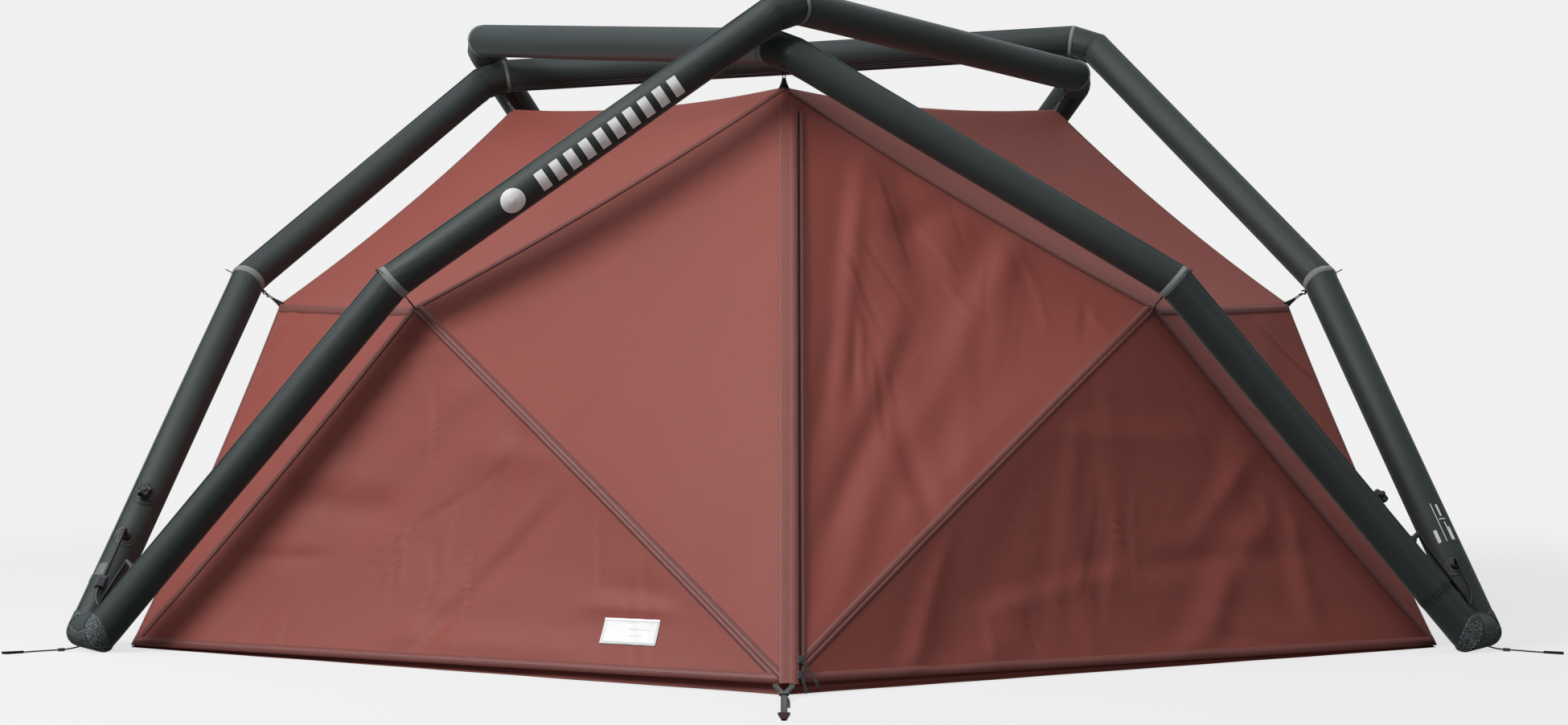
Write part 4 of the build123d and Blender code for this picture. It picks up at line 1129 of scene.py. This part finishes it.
def build_panels(size, edge_sag, hollow):
    """All panels of a fly or inner tent, by name."""
    panels = {}
    tops = {a: polar(size["top"][0], a, size["top"][1]) for a in LOBES.values()}
    names = list(tops)
    ring = [tops[a] for a in names]
    sags = [inward(a, b, edge_sag) for a, b in zip(ring, ring[1:] + ring[:1])]
    panels["roof"] = Panel(ring, sags, hollow)
    for foot, turn in FEET.items():
        azimuth = FIRST_FOOT + turn
        low, high = [polar(size["elbow"][0], azimuth + s * FLY_ELBOW_ANGLE, size["elbow"][1]) for s in (-1, 1)]
        top_high, top_low = [polar(size["top"][0], azimuth + s * 60, size["top"][1]) for s in (1, -1)]
        ground = polar(size["foot"][0], azimuth, size["foot"][1])
        corners = [low, high, top_high, top_low]
        sags = [inward(low, high, edge_sag * 0.5), inward(high, top_high, edge_sag),
                inward(top_high, top_low, edge_sag), inward(top_low, low, edge_sag)]
        panels[f"side_{foot}"] = Panel(corners, sags, hollow)
        sags = [inward(low, high, edge_sag * 0.5), inward(high, ground, edge_sag * 0.6),
                inward(ground, low, edge_sag * 0.6)]
        panels[f"gusset_{foot}"] = Panel([low, high, ground], sags, hollow * 0.5)
    for lobe, azimuth in LOBES.items():
        top, point, elbows, feet = lobe_corners(azimuth, size)
        none = np.zeros(3)
        for side in (-1, 1):
            elbow, foot = elbows[side], feet[side]
            seam = inward(elbow, point, edge_sag * 0.55)
            corners = [top, elbow, point]
            panels[f"{lobe}_{side}_upper"] = Panel(corners, [inward(top, elbow, edge_sag), seam, none], hollow * 1.1)
            corners = [elbow, foot, point]
            edges = [inward(elbow, foot, edge_sag * 0.6), none, seam]
            panels[f"{lobe}_{side}_lower"] = Panel(corners, edges, hollow)
    return panels


def fold_panels(panels):
    """Creases and soft tension folds, stronger at the front right than at the front left."""
    for number, (name, panel) in enumerate(panels.items()):
        amount = 1.0
        if name.startswith("front_-1_upper"):
            amount = 0.35
        if name.startswith("front_1"):
            amount = 1.5
        if name == "roof" or name.startswith("side"):
            amount = 0.5
        panel.scatter(100 + number, int(10 * amount) + 2, 90, 26, 0.26, 0.0070, 0.0034 * min(amount, 1.2))
        panel.scatter(200 + number, int(9 * amount) + 2, 62, 16, 0.62, 0.032, 0.0060 * min(amount, 1.2))
        if name.endswith("lower"):
            panel.scatter(300 + number, 8, 0, 7, 0.55, 0.026, 0.0046)
            panel.scatter(400 + number, 12, 84, 14, 0.20, 0.0062, 0.0032)


def edge_ribbon(panel, first, second, width, pile, lift=0.0009, count=120):
    """A band along one edge of a three-cornered panel.

    first and second are corner numbers of the edge, and width is the band's reach into the panel.
    """
    third = 3 - first - second
    a, b, c = panel.corners[first], panel.corners[second], panel.corners[third]
    along = unit(b - a)
    height = np.linalg.norm((c - a) - along * ((c - a) @ along))
    rows = np.array([0, 0, width * 0.5, width, width])
    lifts = np.array([0.0001, lift, lift * 1.3, lift, 0.0001])
    t = np.linspace(0.0, 1.0, count)
    grid_t, grid_r = np.meshgrid(t, rows, indexing="ij")
    depth = np.minimum(grid_r / height, 0.98)
    w = np.zeros(grid_t.shape + (3,))
    w[..., third] = depth
    w[..., first] = (1 - grid_t) * (1 - depth)
    w[..., second] = grid_t * (1 - depth)
    point = panel.surface(w[..., 1], w[..., 2])
    point = point + panel.normal * lifts[None, :, None]
    uv = np.stack([grid_t * np.linalg.norm(b - a), grid_r], -1)
    faces = grid_faces(count, len(rows))
    sample = point.reshape(-1, 3)
    f = faces[len(rows) + 1]
    if np.cross(sample[f[1]] - sample[f[0]], sample[f[2]] - sample[f[0]]) @ panel.normal < 0:
        faces = faces[:, ::-1]
    pile.add(point, faces, uv)


FLY_PANELS = build_panels(FLY, FLY_SAG, FLY_HOLLOW)
fold_panels(FLY_PANELS)
CANOPY_NODES = ["fly_roof", "fly_side_panels", "fly_foot_gussets", "fly_front_left", "fly_front_right",
                "fly_rear_left_lobe", "fly_rear_right_lobe"]
SEAM_WIDTH = 0.024
BINDING_WIDTH = 0.009
HEM_WIDTH = 0.019


def make_fly():
    """The fly's canopy, its felled seams, edge bindings and hem."""
    count = 104
    canopy = merged_sheet("fly_canopy", list(FLY_PANELS.values()), count, "fly_fabric", CANOPY_NODES)
    seams, bindings, hems = Pile(), Pile(), Pile()
    for lobe in LOBES:
        for side in (-1, 1):
            upper, lower = FLY_PANELS[f"{lobe}_{side}_upper"], FLY_PANELS[f"{lobe}_{side}_lower"]
            edge_ribbon(lower, 0, 2, SEAM_WIDTH * 0.4, seams)
            edge_ribbon(upper, 1, 2, SEAM_WIDTH * 0.6, seams)
            edge_ribbon(upper, 0, 1, BINDING_WIDTH, bindings)
            edge_ribbon(lower, 0, 1, BINDING_WIDTH, bindings)
            edge_ribbon(lower, 1, 2, HEM_WIDTH, hems, lift=0.0014)
    for lobe in ("rear_left", "rear_right"):
        for side in (-1, 1):
            edge_ribbon(FLY_PANELS[f"{lobe}_{side}_upper"], 0, 2, SEAM_WIDTH * 0.5, seams)
    for foot in FEET:
        edge_ribbon(FLY_PANELS[f"gusset_{foot}"], 0, 1, 0.020, seams)
        edge_ribbon(FLY_PANELS[f"gusset_{foot}"], 1, 2, 0.006, bindings)
        edge_ribbon(FLY_PANELS[f"gusset_{foot}"], 0, 2, 0.006, bindings)
    felled = seams.piece("fly_felled_seams", "fly_fabric", material=SEAM)
    binding = bindings.piece("fly_edge_bindings", "hem_fabric", material=SEAM)
    hem = hems.piece("fly_hem_fold", "hem_fabric", material=SEAM)
    make_skirt()
    return canopy


def make_skirt():
    """Low mud skirt that hangs behind the hem and reaches the ground."""
    pile = Pile()
    for lobe, azimuth in LOBES.items():
        _, point, _, feet = lobe_corners(azimuth, FLY)
        for side in (-1, 1):
            foot = feet[side]
            t = np.linspace(0, 1, 90)
            line = foot + (point - foot) * t[:, None]
            inner = unit(np.array([-line.mean(0)[0], -line.mean(0)[1], 0]))
            rng = np.random.default_rng(7 + azimuth + side)
            wave = sum(np.sin(t * k + rng.uniform(0, 6)) * 0.0012 for k in (9, 23, 41))
            rows = []
            for share, inset in ((1.0, 0.002), (0.85, 0.010), (0.5, 0.013), (0.2, 0.008), (0.06, 0.001), (0.03, 0.010)):
                row = line + inner * (inset + wave * (1 - share))[:, None]
                row[:, 2] = np.maximum(line[:, 2] * share, 0.0006)
                rows.append(row)
            uv = np.stack(np.broadcast_arrays((t * 1.6)[None], np.linspace(0, 0.02, 6)[:, None]), -1)
            faces = grid_faces(6, 90)
            pile.add(np.array(rows), faces if side > 0 else faces[:, ::-1], uv)
    pile.piece("fly_mud_skirt", "hem_fabric", replaces=["fly_hem"])


# ---------------------------------------------------------------- front zip

def zip_frame():
    """Origin at the foot of the ridge, direction across the right panel, up the ridge and out of the panel."""
    top, point, elbows, _ = lobe_corners(LOBES["front"], FLY)
    up = unit(top - point)
    across = elbows[1] - point
    across = unit(across - up * (across @ up))
    return point, across, up, np.cross(across, up)


ZIP = zip_frame()
ZIP_LENGTH = float(np.linalg.norm(lobe_corners(270, FLY)[0] - lobe_corners(270, FLY)[1])) - 0.06
ZIP_LINE = 0.030


def on_zip(x, y, z):
    """A point from its place across, up and out of the zip."""
    origin, across, up, out = ZIP
    return origin + np.multiply.outer(x, across) + np.multiply.outer(y, up) + np.multiply.outer(z, out)


def zip_strip(profile, start, end, pile, count=140, ripple=0.0):
    """A long strip with a cross section given as (across, out) rows."""
    t = np.linspace(start, end, count)
    wave = ripple * np.sin(t * 31) * np.sin(t * 13 + 1)
    x, z = np.array(profile).T
    grid_t, grid_x = np.meshgrid(t, x, indexing="ij")
    grid_z = np.broadcast_to(z, grid_x.shape) + wave[:, None] * (grid_x - x.min()) / max(np.ptp(x), 1e-6)
    verts = on_zip(grid_x, grid_t, grid_z)
    pile.add(verts, grid_faces(count, len(profile)), np.stack([grid_t, grid_x], -1))


def make_zip():
    """Zip tape, its chain, the storm flap, sliders and cord pulls."""
    tape, chain, flap = Pile(), Pile(), Pile()
    zip_strip([(0.002, 0.0004), (0.003, 0.0016), (0.024, 0.0020), (0.036, 0.0020), (0.040, 0.0014), (0.0402, 0.0003)],
              0.006, ZIP_LENGTH, tape)
    pitch = 0.0027
    for k, place in enumerate(np.arange(0.008, ZIP_LENGTH - 0.004, pitch)):
        lean = 0.0008 if k % 2 else -0.0008
        tooth = [on_zip(ZIP_LINE - 0.0022 + s * 0.0044, place + lean * (s - 0.5), 0.0024 + 0.0011 * np.sin(pi * s))
                 for s in np.linspace(0, 1, 4)]
        round_rod(tooth, 0.0009, 6, chain)
    flap_rows = [(-0.0082, -0.0028), (-0.0078, -0.0006), (-0.0030, 0.0014), (0.004, 0.0034), (0.0105, 0.0042),
                 (0.0110, 0.0047), (0.0200, 0.0052), (0.0268, 0.0053), (0.0273, 0.0046), (0.0240, 0.0038)]
    zip_strip(flap_rows, 0.001, ZIP_LENGTH + 0.02, flap, 200, 0.0007)
    tape.piece("zip_tape_band", "zip_fabric", replaces=["zip_tape"])
    chain.piece("zip_coil_chain", "zip_fabric", material=CHAIN)
    flap.piece("storm_flap_fold", "fly_fabric", material=SEAM_FLAP, replaces=["storm_flap"])
    for name, place, length, swing in (("lower", 0.020, 0.042, 14), ("upper", 0.054, 0.066, 30)):
        make_slider(name, place, length, swing)


def make_slider(name, place, length, swing):
    """A zip slider with a waisted body and bridge, and its cord pull with a knot."""
    body = Pile()
    origin, across, up, out = ZIP
    outline = [(-0.0040, -0.0088), (0.0040, -0.0088), (0.0052, -0.0060), (0.0046, 0.0), (0.0063, 0.0062),
               (0.0052, 0.0088), (-0.0052, 0.0088), (-0.0063, 0.0062), (-0.0046, 0.0), (-0.0052, -0.0060)]
    levels = ((0.0043, 0.9), (0.0047, 1.0), (0.0072, 1.0), (0.0077, 0.92), (0.0078, 0.6))
    rows = [[on_zip(ZIP_LINE + x * k, place + y * k, z) for x, y in outline] for z, k in levels]
    body.add(np.array(rows), capped(len(rows), len(outline)))
    arch = [on_zip(ZIP_LINE, place + y, z) for y, z in
            ((-0.006, 0.0076), (-0.005, 0.0094), (0.0, 0.0102), (0.005, 0.0094), (0.006, 0.0076))]
    round_rod(curve_points(arch, 16), 0.0011, 10, body)
    body.piece(f"zip_slider_{name}_body", "zip_metal", body=f"zip_slider_{name}", replaces=[f"zip_slider_{name}"])
    pull = Pile()
    down = -up * cos(radians(swing)) + across * sin(radians(swing))
    beside = np.cross(down, out)
    hinge = on_zip(ZIP_LINE, place, 0.0118)

    def at(s, x=0.0, z=0.0):
        return hinge + down * s + beside * x + out * z

    metal = [at(-0.0005, 0.0016, -0.0012), at(0.006, 0.0020), at(0.014, 0.0018), at(0.016, 0.0),
             at(0.014, -0.0018), at(0.006, -0.0020), at(-0.0005, -0.0016, -0.0012)]
    round_rod(curve_points(metal, 40), 0.0009, 8, pull)
    for sign in (-1, 1):
        line = [at(0.013, 0.0009 * sign), at(length * 0.5, 0.0014 * sign, 0.0006), at(length * 0.82, 0.0010 * sign)]
        round_rod(curve_points(line, 24), 0.0012, 10, pull)
    knot = [at(length * 0.80, 0.0018), at(length * 0.84, -0.0020, 0.001), at(length * 0.86, 0.0018, -0.001),
            at(length * 0.89, -0.0014, 0.001), at(length * 0.90, 0.0)]
    round_rod(curve_points(knot, 30), 0.0016, 10, pull)
    for sign, extra in ((-1, 0.97), (1, 1.0)):
        tail = [at(length * 0.88), at(length * 0.94, 0.0016 * sign), at(length * extra, 0.0020 * sign)]
        round_rod(curve_points(tail, 10), 0.0011, 8, pull)
    pull.piece(f"zip_pull_{name}_cord", "pull_cord", body=f"zip_pull_{name}", replaces=[f"zip_pull_{name}"])


# ---------------------------------------------------------------- label and hangers

def make_label(canopy):
    """Plain sewn label that follows the cloth near the hem of the front left panel."""
    _, point, elbows, feet = lobe_corners(LOBES["front"], FLY)
    along = unit(point - feet[-1])
    up = elbows[-1] - point
    up = unit(up - along * (up @ along))
    out = np.cross(along, up)
    centre = point - along * 0.372 + up * 0.086
    tree = BVHTree.FromPolygons([v.co for v in canopy.data.vertices],
                                [tuple(p.vertices) for p in canopy.data.polygons])
    rows, coords = [], []
    for v in np.linspace(-0.026, 0.026, 12):
        for u in np.linspace(-0.065, 0.065, 28):
            start = centre + along * u + up * v + out * 0.05
            hit = tree.ray_cast(Vector(start), Vector(-out))[0]
            rows.append(np.array(hit) + out * 0.0010)
            coords.append((u, v))
    pile = Pile()
    pile.add(rows, grid_faces(12, 28), coords)
    label = pile.piece("fly_sewn_label", "label_fabric", replaces=["fly_label"])
    rim = label.modifiers.new("thickness", "SOLIDIFY")
    rim.thickness = 0.0007
    rim.offset = 0
    stitches = Pile()
    grid = np.array(rows).reshape(12, 28, 3)
    loop = np.vstack([grid[1, 1:-1], grid[1:-1, -2], grid[-2, -2:0:-1], grid[-2:0:-1, 1]])
    for a, b in zip(loop, np.roll(loop, -1, axis=0)):
        step = b - a
        for share in (0.1, 0.6):
            round_rod([a + step * share + out * 0.0005, a + step * (share + 0.28) + out * 0.0005], 0.00028, 6, stitches)
    stitches.piece("fly_label_stitches", "label_fabric", material=PRINT_GREY)


def hanger(corner, target, out, gap, tabs, hooks):
    """Webbing tab on a fly corner, a cord loop, a small hook and its lashing on the tube."""
    along = unit(target - corner)
    side = unit(np.cross(out, along))
    thick = np.cross(along, side)
    reach = float(np.linalg.norm(target - corner)) - TUBE
    rows = []
    for s, half in ((-0.012, 0.0125), (-0.002, 0.0105), (0.010, 0.0062), (0.022, 0.0036)):
        ring = [(half, 0.0006), (half * 0.5, 0.0016), (-half * 0.5, 0.0016), (-half, 0.0006), (-half, -0.0006),
                (-half * 0.5, -0.0016), (half * 0.5, -0.0016), (half, -0.0006)]
        rows.append([corner + along * s + side * x + thick * z for x, z in ring])
    uv = [(s * 0.01, x * 0.003) for s in range(4) for x in range(8)]
    tabs.add(np.array(rows), capped(4, 8), uv)

    def at(s, x=0.0, z=0.0):
        return corner + along * s + side * x + thick * z

    end = reach - gap
    loop = [at(0.018, 0.0028), at((0.018 + end) / 2, 0.0022), at(end - 0.012, 0.0030), at(end - 0.009, 0.0),
            at(end - 0.012, -0.0030), at((0.018 + end) / 2, -0.0022), at(0.018, -0.0028)]
    round_rod(curve_points(loop, 50), 0.0011, 8, hooks)
    hook = [at(end - 0.016, 0.004, 0.001), at(end - 0.010, 0.0, 0.0), at(end - 0.004, -0.0055, 0.001),
            at(end + 0.001, -0.003, 0.0), at(end - 0.001, 0.0030, -0.001), at(end - 0.006, 0.0062, -0.001)]
    round_rod(curve_points(hook, 40), 0.0017, 10, hooks)
    lash = [at(end - 0.002, -0.002), at(end + 0.004, 0.0), at(reach + 0.0005, 0.002)]
    round_rod(curve_points(lash, 10), 0.0016, 8, hooks)


def make_hangers():
    """The nine hangers between the fly and the frame, and small cord loops on the elbows."""
    tabs, hooks = Pile(), Pile()
    for side in (-1, 1):
        corner = polar(FLY["elbow"][0], FIRST_FOOT + side * FLY_ELBOW_ANGLE, FLY["elbow"][1])
        target = polar(ELBOW[0], FIRST_FOOT + side * ELBOW[1], ELBOW[2])
        hanger(corner, target, polar(1, FIRST_FOOT, 0), 0.004, tabs, hooks)
        out = unit(polar(1, FIRST_FOOT + side * ELBOW[1], 0.5))
        across = np.cross(out, (0, 0, 1))
        loop = [target + out * TUBE * 0.99 + across * x + out * z for x, z in
                ((-0.004, 0.0), (-0.006, 0.010), (0.0, 0.017), (0.006, 0.010), (0.004, 0.0))]
        round_rod(curve_points(loop, 24), 0.0010, 8, hooks)
    azimuth = FIRST_FOOT + 60
    corner = polar(FLY["top"][0], azimuth, FLY["top"][1])
    hanger(corner, crossing_point(azimuth, -1), polar(1, azimuth, 0), 0.003, tabs, hooks)
    tabs.thrice().piece("corner_webbing_tabs", "tab_fabric", replaces=["corner_tabs"])
    hooks.thrice().piece("hanger_hook_wires", "pull_cord", replaces=["hanger_hooks"])


# ---------------------------------------------------------------- ground gear

def ribbon(points, widths, thickness, pile):
    """A flat woven tape along a line of points, with a closed thin section."""
    points = curve_points(points, 40)
    along = unit(np.gradient(points, axis=0))
    widths = np.interp(np.linspace(0, 1, 40), np.linspace(0, 1, len(widths)), widths)
    level = np.array([1.0, 0, 0])
    side = unit(level - along * (along @ level)[:, None])
    out = np.cross(side, along)
    section = [(-1, -0.5), (-1, 0.5), (-0.5, 0.62), (0.5, 0.62), (1, 0.5), (1, -0.5)]
    rows = np.stack([points + side * (widths * x / 2)[:, None] + out * thickness * z for x, z in section], 1)
    across = np.array([x * 0.006 for x, _ in section])
    pile.add(rows, capped(40, 6), np.stack(np.broadcast_arrays(lengths_along(points)[:, None], across[None]), -1))


def make_tie_down():
    """Front webbing, strap and its folded end."""
    web, strap = Pile(), Pile()
    for side in (-1, 1):
        ribbon([(0.016 * side, -1.649, 0.021), (0.013 * side, -1.664, 0.0165), (0.003 * side, -1.698, 0.0108),
                (0.001 * side, -1.7055, 0.0098)], [0.011, 0.011, 0.011, 0.010], 0.0013, web)
    web.piece("tie_down_v_webbing", "webbing", replaces=["tie_down_webbing"])
    ribbon([(0, -1.7238, 0.0088), (0, -1.760, 0.0066), (0, -1.840, 0.0048), (0, -1.941, 0.0028)],
           [0.0115, 0.0118, 0.012, 0.012], 0.0013, strap)
    ribbon([(0.001, -1.7235, 0.0062), (0.0045, -1.740, 0.0028), (0.0060, -1.790, 0.0020), (0.0065, -1.850, 0.0016)],
           [0.0105, 0.0105, 0.0100, 0.0090], 0.0011, strap)
    strap.piece("tie_down_strap_tape", "webbing", replaces=["tie_down_strap"])
    ring = Pile()
    outline = [(0.0088, -0.0045), (0.0088, 0.0040), (0.0060, 0.0068), (-0.0060, 0.0068), (-0.0088, 0.0040),
               (-0.0088, -0.0045), (-0.0060, -0.0072), (0.0060, -0.0072), (0.0088, -0.0045)]
    place = np.array([0, -1.716, 0.0122])
    round_rod(curve_points([place + (x, y, 0) for x, y in outline], 64), 0.0019, 10, ring)
    round_rod([place + (-0.0082, 0, 0.0002), place + (0.0082, 0, 0.0002)], 0.0015, 10, ring)
    ring.piece("ladder_lock_rim", "lock_plastic", body="ladder_lock")


GUY_ROUTE = [(1.671, 0.0, 0.0080), (1.690, 0.001, 0.0036), (1.728, 0.0, 0.0032), (1.768, 0.003, 0.0026),
             (1.788, 0.002, 0.0022)]


def make_guy_cords():
    """Short taut guy cords from the feet to their pegs."""
    for foot, turn in FEET.items():
        out = polar(1, FIRST_FOOT, 0)
        across = np.array([sin(radians(FIRST_FOOT)), -cos(radians(FIRST_FOOT)), 0])
        points = spun([out * r + across * s + np.array([0, 0, z]) for r, s, z in GUY_ROUTE], turn)
        curve = bpy.data.curves.new(f"guy_cord_{foot}_line", "CURVE")
        curve.dimensions = "3D"
        curve.bevel_depth = 0.0015
        curve.bevel_resolution = 4
        curve.use_fill_caps = True
        spline = curve.splines.new("NURBS")
        spline.points.add(len(points) - 1)
        for knot, point in zip(spline.points, points):
            knot.co = (*point, 1)
        spline.order_u = 3
        spline.use_endpoint_u = True
        spline.resolution_u = 12
        curve.materials.append(MATERIALS["guy_cord"])
        piece = bpy.data.objects.new(f"guy_cord_{foot}_line", curve)
        bpy.context.collection.objects.link(piece)
        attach(piece, TENT)
        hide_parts(f"guy_cord_{foot}")


# ---------------------------------------------------------------- inner tent

DOOR = (0.38, 0.59)
TUB_HEIGHT = 0.110


def wall_line(height):
    """Half width and Y of the flat lower front wall of the inner tent at a height."""
    foot = polar(INNER["foot"][0], FIRST_FOOT, INNER["foot"][1])
    elbow = polar(INNER["elbow"][0], FIRST_FOOT + FLY_ELBOW_ANGLE, INNER["elbow"][1])
    place = foot + (elbow - foot) * (height - foot[2]) / (elbow[2] - foot[2])
    return -place[0], place[1]


def wall_point(x, height):
    """Point in the flat lower front wall."""
    return np.array([x, wall_line(height)[1], height])


def make_inner_tent():
    """Inner walls with a coated tub, the groundsheet and the mesh door."""
    panels = build_panels(INNER, INNER_SAG, INNER_HOLLOW)
    shell = [p for n, p in panels.items() if not n.startswith("front")]
    front = panels["front_-1_upper"].corners
    other = panels["front_1_upper"].corners
    sags = [inward(front[0], front[1], INNER_SAG), np.zeros(3), inward(other[0], other[1], INNER_SAG)]
    shell.append(Panel([front[0], front[1], other[1]], sags, 0.004))
    none = np.zeros((4, 3))
    top, (door, head) = INNER["elbow"][1], DOOR
    sill, high, low = wall_line(TUB_HEIGHT)[0], wall_line(top)[0], wall_line(0.003)[0]
    quads = {
        "left": [(-sill, TUB_HEIGHT), (-door, TUB_HEIGHT), (-door, top), (-high, top)],
        "right": [(door, TUB_HEIGHT), (sill, TUB_HEIGHT), (high, top), (door, top)],
        "head": [(-door, head), (door, head), (door, top), (-door, top)],
        "tub": [(-low, 0.003), (low, 0.003), (sill, TUB_HEIGHT), (-sill, TUB_HEIGHT)],
        "door": [(-door, TUB_HEIGHT), (door, TUB_HEIGHT), (door, head), (-door, head)],
    }
    walls = {n: Panel([wall_point(*p) for p in q], none, 0.0) for n, q in quads.items()}
    pile, tub = Pile(), Pile()
    for panel in shell + [walls["left"], walls["right"], walls["head"]]:
        verts, faces, uv = panel_grid(panel, 24)
        low = np.array([max(verts[i][2] for i in f) <= TUB_HEIGHT + 0.012 for f in faces])
        faces = np.array([tuple(f) + ((f[-1],) if len(f) == 3 else ()) for f in faces])
        for target, chosen in ((pile, faces[~low]), (tub, faces[low])):
            clean = [tuple(dict.fromkeys(map(int, f))) for f in chosen]
            if clean:
                used = sorted({i for f in clean for i in f})
                new = {old: k for k, old in enumerate(used)}
                target.add(verts[used], [tuple(new[i] for i in f) for f in clean], uv[used])
    verts, faces, uv = panel_grid(walls["tub"], 12)
    tub.add(verts, faces, uv)
    pile.piece("inner_wall_cloth", "inner_fabric", replaces=["inner_walls"])
    tub.piece("inner_tub_cloth", "groundsheet_fabric", replaces=["inner_tub"])
    verts, faces, uv = panel_grid(walls["door"], 16)
    add_piece("inner_door_mesh", verts, faces, "door_mesh", uv=uv, replaces=["inner_door"])
    corners = [polar(INNER["foot"][0], 210, 0), polar(INNER["lobe"][0], 150, 0), polar(INNER["foot"][0], 90, 0),
               polar(INNER["lobe"][0], 30, 0), polar(INNER["foot"][0], 330, 0)]
    ring = np.array(corners)
    floor = Pile()
    rows = [ring * 0.999 + (0, 0, 0.0005), ring + (0, 0, 0.0012), ring + (0, 0, 0.0026), ring * 0.998 + (0, 0, 0.003)]
    floor.add(np.array(rows), capped(4, 5), np.vstack([r[:, :2] for r in rows]))
    floor.piece("groundsheet_cloth", "groundsheet_fabric", replaces=["groundsheet"], smooth=False)


# ---------------------------------------------------------------- CAD pieces that stay

def finish_cad_pieces():
    """Give each CAD piece that still shows its own material, and soften the edges of the small hard parts."""
    slots = {part["node"]: part["material_slot"] for part in frame["record"]["subparts"]}
    for name, node in frame["nodes"].items():
        if node.hide_render:
            continue
        for place in node.material_slots:
            place.material = MATERIALS[slots[name]]
        if name.startswith(("ladder_lock", "hose_clamp", "guy_tensioner", "ground_pegs", "inner_door_slider")):
            bevel = node.modifiers.new("soft_edges", "BEVEL")
            bevel.width = 0.0006
            bevel.segments = 2
            bevel.limit_method = "ANGLE"
            bevel.angle_limit = radians(40)


def make_clamp_ribs():
    """Grip ribs on the clamp levers, which move with them."""
    origin, _, out = leg_frame(1, CLAMP_DISTANCE)
    route = hose_route()
    along = unit(route[2] - route[3])
    out = unit(out - along * (out @ along))
    centre = route[3] + along * ((origin - route[3]) @ along)
    ribs = Pile()
    for k in range(5):
        middle = centre + out * 0.0106 + along * (-0.010 + 0.0036 * k)
        across = np.cross(out, along)
        round_rod([middle - across * 0.0055, middle + across * 0.0055], 0.0007, 8, ribs)
    for foot, turn in FEET.items():
        ribs.turned(turn).piece(f"clamp_lever_ribs_{foot}", "clamp_plastic", body=f"hose_clamp_lever_{foot}")


make_camera()
make_guy_cords()
make_stage()
make_arches()
make_prints()
make_feet()
make_air_fittings()
make_hangers()
fly_canopy = make_fly()
make_zip()
make_label(fly_canopy)
make_tie_down()
make_inner_tent()
make_clamp_ribs()
finish_cad_pieces()
